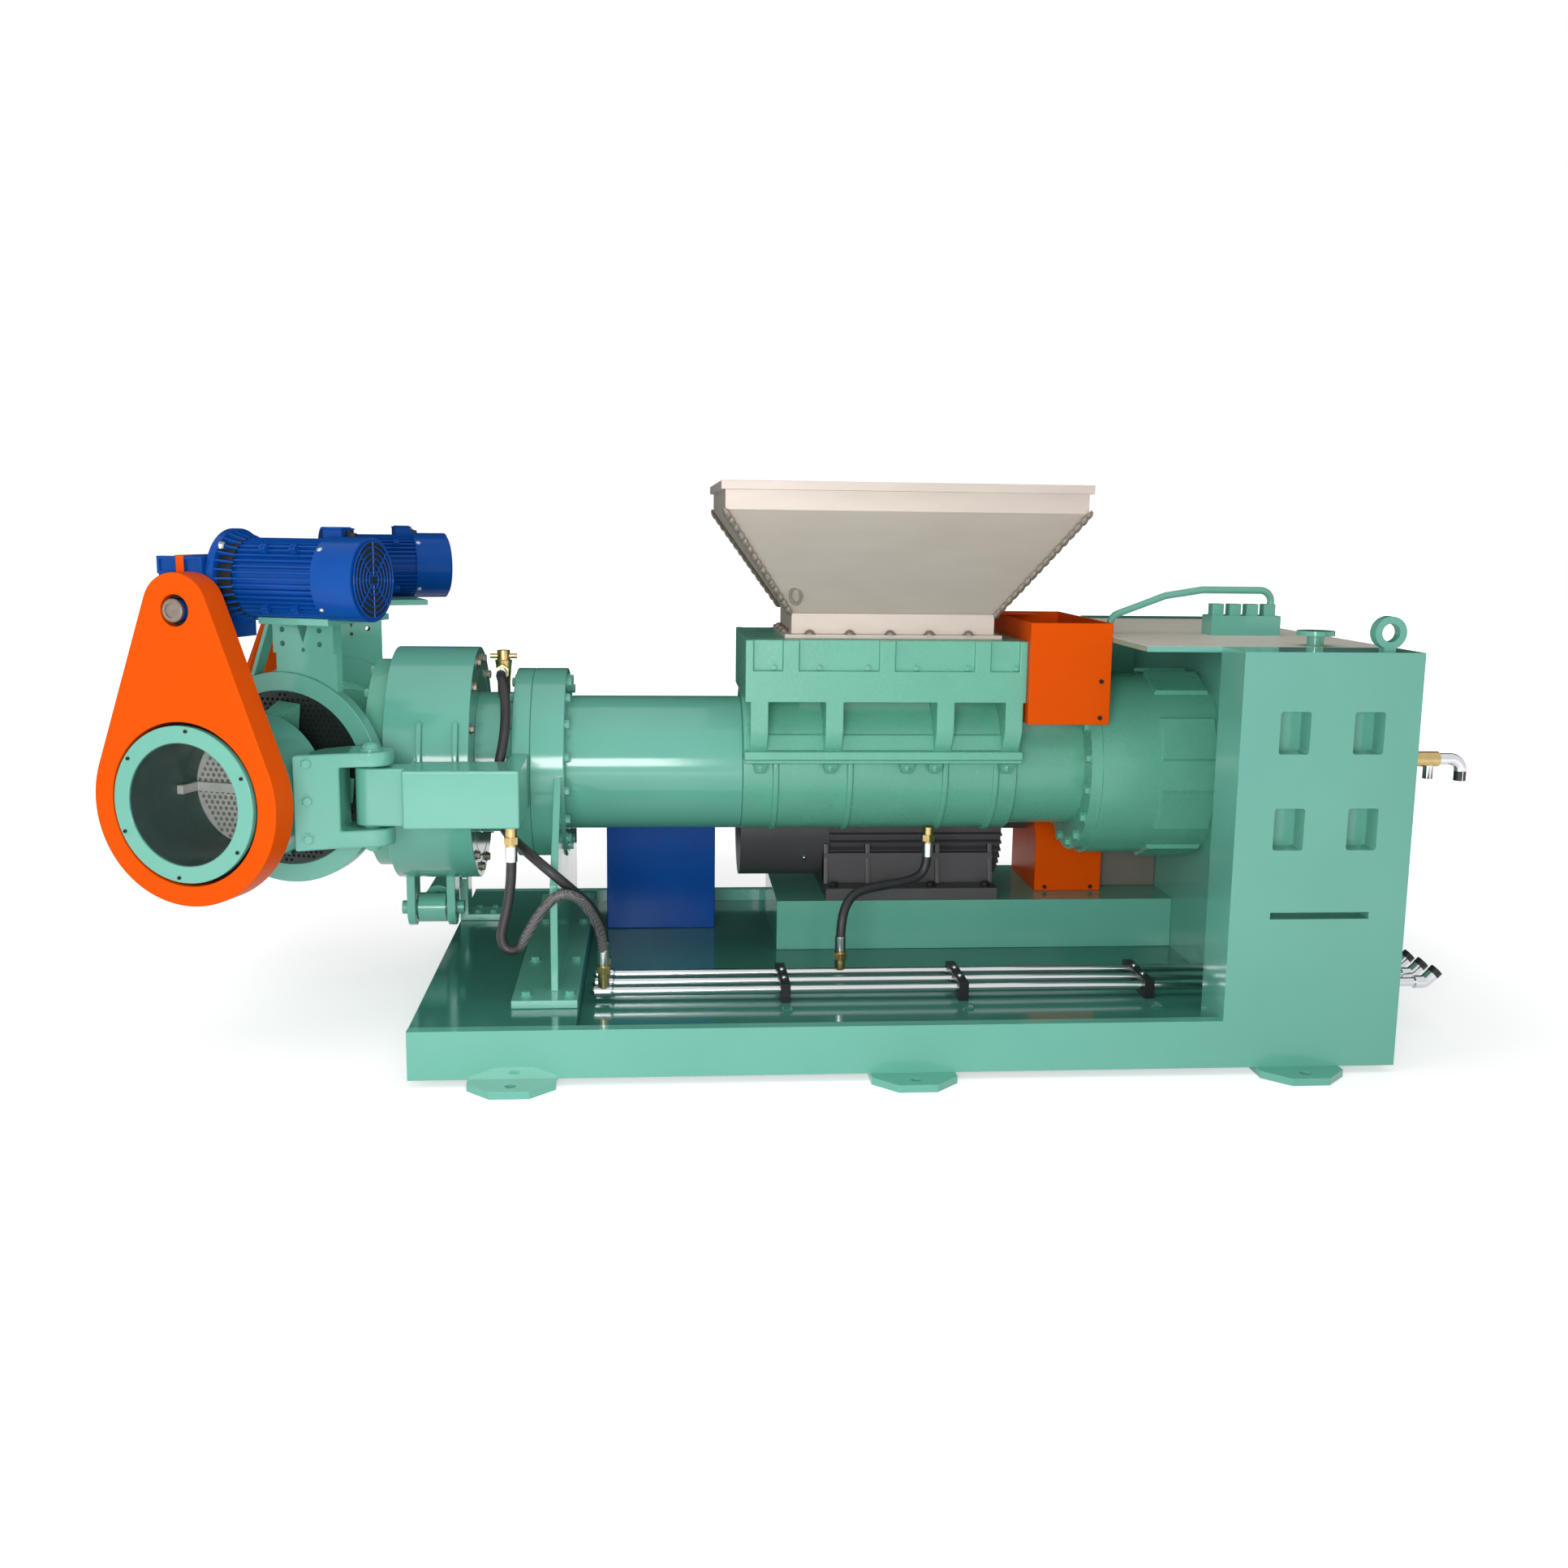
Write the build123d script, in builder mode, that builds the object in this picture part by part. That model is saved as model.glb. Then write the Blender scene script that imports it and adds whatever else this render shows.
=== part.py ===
from build123d import *
from math import cos, radians, sin, tan
import os

# Rubber extruder with a hinged pelletizing head that has two outlets.
# X runs along the barrel from the head (-X) to the gearbox (+X). Y = 0 is the barrel axis.
# Z = 0 is the floor, and the origin is the centre of the anchor bolts.

# General
full_turn = 360
half_turn = 180
axis_height = 784
running_gap = 0.3
cut_overrun = 40

# Base frame
base_length = 2824
base_width = 1704
base_height = 140
foot_thickness = 22
sill_width = 40
deck_length = 462
tray_depth = 42
tray_plate = 20
cross_member_width = 80
cross_member_shares = (0.1, 0.5, 0.75)

# Feet
foot_width = 245
foot_reach = 98
foot_inset = 160
foot_corner = 68
foot_pitch = 1125
anchor_hole_radius = 15
anchor_reach = 53

# Gearbox housing columns and plates
column_length = 517
column_depth = 182
column_height = 1199
pocket_width = 88
pocket_height = 120
pocket_depth = 70
pocket_corner = 8
pocket_spacing = 214
pocket_rise = 274
pocket_centre_x = 1158
pocket_centre_z = 858
slot_width = 290
slot_height = 20
slot_centre_z = 471
top_plate = 17
rear_panel_thickness = 30
bulkhead_thickness = 40
bulkhead_x = 1055

# Barrel and feed section
barrel_radius = 215
barrel_left = -1006
feed_left = -454
feed_right = 419
flange_radius = 303
barrel_flange_width = 104
nose_flange_width = 53
flange_gap = 2
neck_radius = 225
feed_half_width = 300
feed_top = 1204
feed_beam_bottom = 1013
feed_knee = 922
feed_split_top = 858
feed_split_bottom = 831
feed_split_half_width = 285
feed_casing_radius = 215
feed_upper_radius = 262
feed_rib_width = 56
feed_rib_shares = (0.02, 0.304, 0.727, 0.99)
feed_panel_bottom = 1110
feed_panel_depth = 14
feed_panel_gap = 50
feed_panel_shares = (0.0, 0.16, 0.5, 0.84, 1.0)
feed_lower_flange = 11
feed_lower_rib_width = 18
feed_lower_rib_depth = 8
feed_lower_rib_shares = (0.11, 0.385, 0.74, 0.93)
feed_throat_length = 560
feed_throat_width = 360
feed_slot_width = 200

# Hopper
collar_length = 636
collar_width = 440
collar_height = 78
collar_centre_x = 9
hopper_wall = 8
collar_flange = 22
collar_flange_height = 14
hopper_top = 1675
hopper_rim_height = 25
hopper_lip_height = 57
hopper_length = 1070
hopper_width = 936
hopper_rim_width = 12

# Orange belt cover
cover_left = 419
cover_right = 675
cover_half_width = 330
cover_bottom = 950
cover_top = 1264
cover_wall = 6
cover_lid_length = 141
cover_lid_width = 150

# Gearbox
lantern_radius = 200
gearbox_flange_left = 640
gearbox_flange_radius = 290
gearbox_flange_width = 35
gearbox_radius = 300
gearbox_ring_left = 675
gearbox_pad_height = 7
gearbox_pad_width = 140
gearbox_pad_taper = 18
gearbox_pad_left = 862
gearbox_pad_right = 1042
gearbox_pad_count = 8
gearbox_pad_start_share = 0.5

# Main motor, its rail and the coupling guard
rail_left = -318
rail_front = 100
rail_width = 550
rail_height = 170
motor_y = 410
motor_centre_z = 525
motor_radius = 210
motor_core_radius = 188
motor_fin_count = 44
motor_fin_thickness = 7
motor_left = -436
motor_right = 473
fan_cover_length = 306
fan_cover_radius = 204
motor_foot_margin = 6
motor_foot_height = 40
motor_web_top = 434
motor_foot_left = -150
motor_foot_right = 440
motor_box_length = 200
motor_box_width = 150
motor_box_height = 120
shaft_radius = 45
coupling_guard_left = 600
coupling_guard_right = 836
coupling_guard_width = 360
coupling_guard_top = 572
input_front = 300
input_width = 220
input_top = 600

# Hydraulic tank
tank_left = -900
tank_right = -517
tank_front = 400
tank_width = 400
tank_height = 440
tank_lid = 8
tank_lid_lip = 12

# Barrel pedestal
pedestal_left = -1144
pedestal_right = -952
pedestal_half_width = 658
pedestal_foot = 25
pedestal_web = 22
pedestal_web_x = -1035
pedestal_web_half_width = 563
pedestal_web_end_height = 316
pedestal_shoulder = 330

# Lock ring, its cylinder and the cylinder's bracket
ring_outer_radius = 370
ring_bore_radius = 300
ring_left = -1540
ring_right = -1285
seat_left = -1530
ring_ear_thickness = 27
ring_ear_spacing = 127
ring_ear_x = -1450
ring_ear_width = 116
ring_ear_reach = 480
ring_ear_hole = 38
ring_rib_height = 26
ring_rib_width = 16
ring_rib_angle = 26
ring_rib_shares = (0.43, 0.85)
rod_eye_radius = 48
rod_eye_width = 86
rod_pin_radius = 22
rod_pin_overhang = 22
rod_radius = 24
cylinder_radius = 46
cylinder_front = 110
cylinder_back = 358
cylinder_bore_end = 346
rod_tail = 340
cylinder_pivot_y = 420
cylinder_eye_radius = 42
cylinder_eye_width = 44
cylinder_neck_width = 40
cylinder_pin_radius = 20
cylinder_pin_end = -1478
bracket_plate = 30
bracket_width = 110
bracket_foot_length = 140
bracket_foot_height = 24

# Hinge between the barrel nose and the head
pin_x = -1538
pin_y = -550
pin_radius = 24
arm_front = -640
arm_back = -460
arm_bottom = 687
arm_top = 855
arm_left = -1440
knuckle_radius = 44
ear_radius = 64
ear_gap = 6
clevis_top = 903
clevis_bottom = 631
clevis_face_x = -1612
clevis_back = -470
clevis_front = -630
clevis_tail_start = 480
clevis_tail_end = 640

# Head
branch_angle = 20
head_x = -1714
head_flange_radius = 330
head_flange_width = 54
head_gap = 6
spigot_radius = 240
manifold_radius = 280
branch_radius = 236
die_flange_radius = 318
die_flange_back = 300
die_flange_front = 345
die_ring_radius = 262
die_ring_depth = 10
die_pipe_radius = 120
die_cone_start = 400
die_plate_back = 510
die_plate_front = 534

# Rotor and its bearing housing
rotor_face = 831
rotor_back = 600
rotor_bore = 169
rotor_radius = 190
rotor_rim_radius = 216
rotor_rim_width = 20
knife_width = 26
knife_thickness = 16
knife_clearance = 6
knife_arm_depth = 14
housing_radius = 214
housing_back = 470
housing_step = 594

# Chain guard
guard_back = 740
guard_front = 825
guard_radius = 282
guard_top_radius = 100
guard_hole_radius = 225
guard_seal_radius = 195
guard_plate = 6
chain_centres = 523
guard_shaft_hole = 42
drive_shaft_radius = 30
drive_shaft_end = 829

# Worm reducer and motor of each branch
reducer_left = 105
reducer_right = 35
reducer_bottom = -85
reducer_top = 135
reducer_depth = 230
worm_offset = 83
drive_axis = 604
drive_flange_radius = 132
drive_flange_left = 37
drive_flange_width = 22
drive_body_radius = 108
drive_core_radius = 96
drive_fin_count = 40
drive_fin_thickness = 5
drive_collar_length = 46
drive_body_right = 342
drive_fan_radius = 114
drive_tail = 462
terminal_length = 56
terminal_width = 66
terminal_height = 24
terminal_left = 296
terminal_back = 66

# Motor support of each branch
support_plate = 18
post_left = 23
post_right = 178
post_step = 375
post_recess = 15
post_hole_radius = 8
post_hole_high = 444
post_hole_low = 403
post_hole_edge = 32
post_hole_spacing = 123
post_notch_top = 458
post_notch_tip = 405
post_notch_width = 36
post_drain_radius = 6
post_drain = 386
strut_thickness = 12
strut_top = 32
strut_foot = 214
bridge_front = 498
shelf_left = 120
shelf_right = 336
shelf_front = 626

# Oil pipes and their clamps
pipe_radius = 14
pipe_count = 3
pipe_spacing = 90
pipe_front_y = -468
pipe_left = -915
pipe_right = 1652
pipe_z = 155
pipe_hole_gap = 4
pipe_cap_radius = 20
clamp_width = 30
clamp_margin = 30
clamp_cap = 9
clamp_shares = (0.226, 0.439, 0.665)

# Hoses, their routes chosen by hand
hose_radius = 15
hose_sides = 10
hose_bend_share = 0.45
fitting_radius = 17
nose_hose_route = [
    (-1205, -122, 1085),
    (-1205, -180, 1085),
    (-1190, -252, 1068),
    (-1176, -314, 1002),
    (-1178, -354, 910),
    (-1198, -386, 815),
    (-1203, -402, 725),
    (-1182, -436, 652),
    (-1130, -500, 616),
    (-1075, -566, 584),
    (-1014, -598, 540),
    (-962, -548, 480),
    (-916, -458, 412),
    (-884, -378, 322),
    (-884, -378, 240),
]
arm_hose_route = [
    (-1144, -560, 622),
    (-1144, -560, 548),
    (-1152, -563, 470),
    (-1166, -569, 404),
    (-1178, -574, 356),
    (-1164, -578, 316),
    (-1126, -583, 316),
    (-1100, -588, 366),
    (-1056, -596, 442),
    (-1004, -602, 494),
    (-946, -588, 474),
    (-908, -540, 402),
    (-884, -468, 322),
    (-884, -468, 240),
]
feed_hose_route = [
    (158, -100, 532),
    (158, -100, 470),
    (138, -108, 424),
    (80, -136, 410),
    (-14, -182, 407),
    (-92, -226, 400),
    (-130, -262, 364),
    (-146, -288, 300),
    (-146, -288, 225),
]
valve_radius = 20
valve_x = -1205
valve_y = -60
valve_height = 140
valve_elbow_z = 1085
valve_handle_length = 84
valve_handle_radius = 8
valve_handle_drop = 18
feed_fitting_top = 585

# Pieces on the housing top and at its rear end
eye_x = 1328
eye_inset = 62
eye_radius = 46
eye_bore = 26
eye_thickness = 36
eye_rise = 52
eye_stem_width = 34
valve_block_left = 1030
valve_block_right = 1255
valve_block_front = -200
valve_block_width = 90
valve_block_height = 62
valve_count = 4
valve_size = 38
valve_rise = 36
lube_pipe_radius = 11
lube_pipe_bend = 36
lube_pipe_y = -155
lube_pipe_route = [(715, 1221), (715, 1276), (890, 1342), (1010, 1362), (1236, 1362), (1236, 1319)]
breather_x = 1195
breather_inset = 60
breather_radius = 24
breather_height = 30
breather_cap_radius = 54
breather_cap_height = 14
outlet_inset = 52
outlet_z = 915
outlet_radius = 22
outlet_length = 84
outlet_drain_x = 1470
outlet_drain_radius = 14
outlet_drain_length = 56
elbow_radius = 17
elbow_bend = 34
elbow_reach = 70
elbow_drop = 62
pipe_elbow_reach = 34
pipe_elbow_rise = 32
pipe_elbow_bend = 24

# Values worked out from the sizes above
base_bottom = foot_thickness
base_top = base_bottom + base_height
half_length = base_length / 2
half_width = base_width / 2
tray_floor = base_top - tray_depth
deck_right = deck_length - half_length
column_left = half_length - column_length
column_inner = half_width - column_depth
column_top = base_bottom + column_height
flange_left = barrel_left - barrel_flange_width
nose_right = flange_left - flange_gap
nose_left = nose_right - nose_flange_width
collar_top = feed_top + collar_height
hopper_lip_top = hopper_top - hopper_rim_height
hopper_slope_top = hopper_lip_top - hopper_lip_height
eye_y = eye_inset - half_width
outlet_y = outlet_inset - half_width
breather_y = breather_inset - column_inner


def save(piece, name):
    piece.label = name
    export_step(piece, f"parts/{name}.step")


def slab(x_low, x_high, y_low, y_high, z_low, z_high):
    with BuildPart() as block:
        with BuildSketch(Plane.XY.offset(z_low)):
            with Locations(((x_low + x_high) / 2, (y_low + y_high) / 2)):
                Rectangle(x_high - x_low, y_high - y_low)
        extrude(amount=z_high - z_low)
    return block.part


# A plane across the barrel axis, with its own x along Y and its own y up
def barrel_plane(x):
    return Plane(origin=(x, 0, axis_height), x_dir=(0, 1, 0), z_dir=(1, 0, 0))


# A plane on the gearbox's round side, with its own z pointing away from the barrel axis
def radial_plane(x, degrees, radius):
    turn = radians(degrees)
    outward = Vector(0, sin(turn), cos(turn))
    return Plane(origin=Vector(x, 0, axis_height) + outward * radius, x_dir=(1, 0, 0), z_dir=outward)


# A plane across one branch of the head. Its own z points out of the outlet and its own y up.
# The hand is 1 for the front branch and -1 for the back one.
def branch_plane(hand, distance):
    turn = radians(branch_angle)
    outward = Vector(-sin(turn), -hand * cos(turn), 0)
    sideways = Vector(hand * cos(turn), -sin(turn), 0)
    centre = Vector(head_x, 0, axis_height) + outward * distance
    return Plane(origin=centre, x_dir=sideways, z_dir=outward)


# Base frame
def build_base():
    inner = half_width - sill_width
    with BuildPart() as sills:
        with BuildSketch(Plane.XY.offset(base_bottom)):
            for side in (-1, 1):
                with Locations(((column_left - half_length) / 2, side * (half_width + inner) / 2)):
                    Rectangle(column_left + half_length, sill_width)
        extrude(amount=base_height)
    save(sills.part, "side_sills")
    save(slab(-half_length, deck_right, -inner, inner, base_bottom, base_top), "left_deck")
    panel_left = half_length - rear_panel_thickness
    with BuildPart() as tray:
        with BuildSketch(Plane.XY.offset(tray_floor - tray_plate)):
            with Locations(((deck_right + column_left) / 2, 0)):
                Rectangle(column_left - deck_right, 2 * inner)
            with Locations(((column_left + panel_left) / 2, 0)):
                Rectangle(panel_left - column_left, 2 * column_inner)
        extrude(amount=tray_plate)
        with BuildSketch(Plane.XY.offset(base_bottom)):
            for share in cross_member_shares:
                with Locations((deck_right + share * (panel_left - deck_right), 0)):
                    Rectangle(cross_member_width, 2 * column_inner)
        extrude(amount=tray_floor - tray_plate - base_bottom)
    save(tray.part, "tray_floor")


def build_feet():
    with BuildPart() as feet:
        with BuildSketch():
            for side in (-1, 1):
                outer = side * (half_width + foot_reach)
                inner = side * (half_width - foot_inset)
                shoulder = outer - side * foot_corner
                for place in (-foot_pitch, 0, foot_pitch):
                    left = place - foot_width / 2
                    right = place + foot_width / 2
                    with BuildLine():
                        Polyline((left, inner), (left, shoulder), (left + foot_corner, outer),
                                 (right - foot_corner, outer), (right, shoulder), (right, inner), close=True)
                    make_face()
                    with Locations((place, side * (half_width + anchor_reach))):
                        Circle(anchor_hole_radius, mode=Mode.SUBTRACT)
        extrude(amount=foot_thickness)
    save(feet.part, "anchor_feet")


# Two tall box columns, each with four pockets and a slot in its outer face
def build_columns():
    with BuildPart() as columns:
        for side in (-1, 1):
            face = Plane(origin=(0, side * half_width, 0), x_dir=(-side, 0, 0), z_dir=(0, side, 0))
            with BuildSketch(Plane.XY.offset(base_bottom)):
                with Locations(((column_left + half_length) / 2, side * (half_width + column_inner) / 2)):
                    Rectangle(column_length, column_depth)
            extrude(amount=column_height)
            with BuildSketch(face):
                with Locations((-side * pocket_centre_x, pocket_centre_z)):
                    with GridLocations(pocket_spacing, pocket_rise, 2, 2):
                        RectangleRounded(pocket_width, pocket_height, pocket_corner)
                with Locations((-side * pocket_centre_x, slot_centre_z)):
                    Rectangle(slot_width, slot_height)
            extrude(amount=-pocket_depth, mode=Mode.SUBTRACT)
    save(columns.part, "side_columns")
    panel_left = half_length - rear_panel_thickness
    plate_bottom = column_top - top_plate
    bulkhead_right = bulkhead_x + bulkhead_thickness
    for left, right, bottom, name in ((panel_left, half_length, base_bottom, "rear_panel"),
                                      (bulkhead_x, bulkhead_right, tray_floor, "gearbox_bulkhead")):
        with BuildPart() as wall:
            with BuildSketch(Plane(origin=(left, 0, 0), x_dir=(0, 1, 0), z_dir=(1, 0, 0))):
                with Locations((0, (bottom + plate_bottom) / 2)):
                    Rectangle(2 * column_inner, plate_bottom - bottom)
                for index in range(pipe_count):
                    with Locations((pipe_front_y + index * pipe_spacing, pipe_z)):
                        Circle(pipe_radius + pipe_hole_gap, mode=Mode.SUBTRACT)
            extrude(amount=right - left)
        save(wall.part, name)
    save(slab(cover_right, half_length, -column_inner, column_inner, plate_bottom,
              column_top), "top_deck")


# Barrel with its flange, and the nose that carries the lock ring
def build_barrel():
    with BuildPart() as barrel:
        with BuildSketch(barrel_plane(flange_left)):
            Circle(flange_radius)
        extrude(amount=barrel_flange_width)
        with BuildSketch(barrel_plane(barrel_left)):
            Circle(barrel_radius)
        extrude(amount=feed_left - barrel_left)
    save(barrel.part, "barrel")
    with BuildPart() as nose:
        with BuildSketch(barrel_plane(nose_left)):
            Circle(flange_radius)
        extrude(amount=nose_flange_width + flange_gap)
        with BuildSketch(barrel_plane(ring_right)):
            Circle(neck_radius)
        extrude(amount=nose_left - ring_right)
        with BuildSketch(barrel_plane(seat_left)):
            Circle(ring_bore_radius - running_gap)
        extrude(amount=ring_right - seat_left)
    save(nose.part, "barrel_nose")


# Feed section: a block with ribs over a split casing, open down to the screw
def build_feed():
    feed_length = feed_right - feed_left
    side_plane = Plane(origin=(feed_left, 0, 0), x_dir=(0, 1, 0), z_dir=(1, 0, 0))
    with BuildPart() as upper:
        with BuildSketch(side_plane):
            with Locations((0, (feed_top + feed_beam_bottom) / 2)):
                Rectangle(2 * feed_half_width, feed_top - feed_beam_bottom)
            with Locations((0, axis_height)):
                Circle(feed_upper_radius)
            with Locations((0, feed_split_bottom - feed_upper_radius)):
                Rectangle(4 * feed_upper_radius, 2 * feed_upper_radius, mode=Mode.SUBTRACT)
            with Locations((0, (feed_split_top + feed_split_bottom) / 2)):
                Rectangle(2 * feed_split_half_width, feed_split_top - feed_split_bottom)
        extrude(amount=feed_length)
        for share in feed_rib_shares:
            rib_plane = side_plane.offset(share * feed_length - share * feed_rib_width)
            with BuildSketch(rib_plane):
                with BuildLine():
                    Polyline((-feed_half_width, feed_beam_bottom), (-feed_half_width, feed_knee),
                             (-feed_upper_radius, feed_split_top), (feed_upper_radius, feed_split_top),
                             (feed_half_width, feed_knee), (feed_half_width, feed_beam_bottom), close=True)
                make_face()
            extrude(amount=feed_rib_width)
        for low, high in zip(feed_panel_shares[:-1], feed_panel_shares[1:]):
            panel_left = feed_left + low * feed_length + feed_panel_gap / 2
            panel_right = feed_left + high * feed_length - feed_panel_gap / 2
            for side in (-1, 1):
                with BuildSketch(Plane.XY.offset(feed_panel_bottom)):
                    with Locations(((panel_left + panel_right) / 2, side * feed_half_width)):
                        Rectangle(panel_right - panel_left, 2 * feed_panel_depth)
                extrude(amount=feed_top - feed_panel_bottom, mode=Mode.SUBTRACT)
        for bottom, width in ((feed_beam_bottom, feed_throat_width), (feed_split_bottom, feed_slot_width)):
            with BuildSketch(Plane.XY.offset(bottom)):
                with Locations((collar_centre_x, 0)):
                    Rectangle(feed_throat_length, width)
            extrude(amount=feed_top - bottom, mode=Mode.SUBTRACT)
    save(upper.part, "feed_box")
    with BuildPart() as casing:
        with BuildSketch(barrel_plane(feed_left)):
            Circle(feed_casing_radius)
            with Locations((0, feed_split_bottom - axis_height + feed_casing_radius)):
                Rectangle(4 * feed_casing_radius, 2 * feed_casing_radius, mode=Mode.SUBTRACT)
        extrude(amount=feed_length)
        with BuildSketch(side_plane):
            with Locations((0, feed_split_bottom - feed_lower_flange / 2)):
                Rectangle(2 * feed_split_half_width, feed_lower_flange)
        extrude(amount=feed_length)
        for share in feed_lower_rib_shares:
            with BuildSketch(barrel_plane(feed_left + share * (feed_length - feed_lower_rib_width))):
                Circle(feed_casing_radius + feed_lower_rib_depth)
                with Locations((0, feed_split_bottom - axis_height + feed_casing_radius)):
                    Rectangle(4 * feed_casing_radius, 2 * feed_casing_radius, mode=Mode.SUBTRACT)
            extrude(amount=feed_lower_rib_width)
    save(casing.part, "feed_casing")


# Hopper: a flanged collar, four sloping walls, an upright lip and a rim
def build_hopper():
    with BuildPart() as collar:
        with BuildSketch(Plane.XY.offset(feed_top)):
            with Locations((collar_centre_x, 0)):
                Rectangle(collar_length, collar_width)
        extrude(amount=collar_height)
        with BuildSketch(Plane.XY.offset(feed_top)):
            with Locations((collar_centre_x, 0)):
                Rectangle(collar_length + 2 * collar_flange, collar_width + 2 * collar_flange)
        extrude(amount=collar_flange_height)
        with BuildSketch(Plane.XY.offset(feed_top)):
            with Locations((collar_centre_x, 0)):
                Rectangle(collar_length - 2 * hopper_wall, collar_width - 2 * hopper_wall)
        extrude(amount=collar_height, mode=Mode.SUBTRACT)
    save(collar.part, "hopper_collar")
    with BuildPart() as hopper:
        with BuildSketch(Plane.XY.offset(collar_top)):
            with Locations((collar_centre_x, 0)):
                Rectangle(collar_length, collar_width)
        with BuildSketch(Plane.XY.offset(hopper_slope_top)):
            with Locations((collar_centre_x, 0)):
                Rectangle(hopper_length, hopper_width)
        loft(ruled=True)
        with BuildSketch(Plane.XY.offset(hopper_slope_top)):
            with Locations((collar_centre_x, 0)):
                Rectangle(hopper_length, hopper_width)
        extrude(amount=hopper_top - hopper_slope_top)
        with BuildSketch(Plane.XY.offset(hopper_lip_top)):
            with Locations((collar_centre_x, 0)):
                Rectangle(hopper_length + 2 * hopper_rim_width, hopper_width + 2 * hopper_rim_width)
        extrude(amount=hopper_top - hopper_lip_top)
        with BuildSketch(Plane.XY.offset(collar_top)):
            with Locations((collar_centre_x, 0)):
                Rectangle(collar_length - 2 * hopper_wall, collar_width - 2 * hopper_wall)
        with BuildSketch(Plane.XY.offset(hopper_slope_top)):
            with Locations((collar_centre_x, 0)):
                Rectangle(hopper_length - 2 * hopper_wall, hopper_width - 2 * hopper_wall)
        loft(ruled=True, mode=Mode.SUBTRACT)
        with BuildSketch(Plane.XY.offset(hopper_slope_top)):
            with Locations((collar_centre_x, 0)):
                Rectangle(hopper_length - 2 * hopper_wall, hopper_width - 2 * hopper_wall)
        extrude(amount=hopper_top - hopper_slope_top, mode=Mode.SUBTRACT)
    save(hopper.part, "hopper")


# Orange cover over the shaft between the feed section and the gearbox, open on top but for a small lid
def build_cover():
    with BuildPart() as cover:
        with BuildSketch(Plane.XY.offset(cover_bottom)):
            with Locations(((cover_left + cover_right) / 2, 0)):
                Rectangle(cover_right - cover_left, 2 * cover_half_width)
        extrude(amount=cover_top - cover_bottom)
        with BuildSketch(Plane.XY.offset(cover_bottom)):
            with Locations(((cover_left + cover_right) / 2, 0)):
                Rectangle(cover_right - cover_left - 2 * cover_wall, 2 * (cover_half_width - cover_wall))
        extrude(amount=cover_top - cover_bottom, mode=Mode.SUBTRACT)
        with BuildSketch(Plane.XY.offset(cover_top)):
            with Locations((cover_left + cover_lid_length / 2, cover_half_width - cover_lid_width / 2)):
                Rectangle(cover_lid_length, cover_lid_width)
        extrude(amount=-cover_wall)
        with BuildSketch(barrel_plane(cover_left - cut_overrun)):
            Circle(gearbox_radius)
        extrude(amount=cover_right - cover_left + 2 * cut_overrun, mode=Mode.SUBTRACT)
    save(cover.part, "shaft_cover")


# Planetary gearbox, carried by the bulkhead
def build_gearbox():
    with BuildPart() as gearbox:
        with BuildSketch(barrel_plane(feed_right)):
            Circle(lantern_radius)
        extrude(amount=gearbox_ring_left - feed_right)
        with BuildSketch(barrel_plane(gearbox_flange_left)):
            Circle(gearbox_flange_radius)
        extrude(amount=gearbox_flange_width)
        with BuildSketch(barrel_plane(gearbox_ring_left)):
            Circle(gearbox_radius)
        extrude(amount=bulkhead_x - gearbox_ring_left)
        pad_middle = (gearbox_pad_left + gearbox_pad_right) / 2
        pad_step = full_turn / gearbox_pad_count
        for index in range(gearbox_pad_count):
            angle = (index + gearbox_pad_start_share) * pad_step
            with BuildSketch(radial_plane(pad_middle, angle, gearbox_radius - gearbox_pad_height)):
                Rectangle(gearbox_pad_right - gearbox_pad_left, gearbox_pad_width)
            extrude(amount=2 * gearbox_pad_height, taper=gearbox_pad_taper)
    save(gearbox.part, "gearbox")


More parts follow.
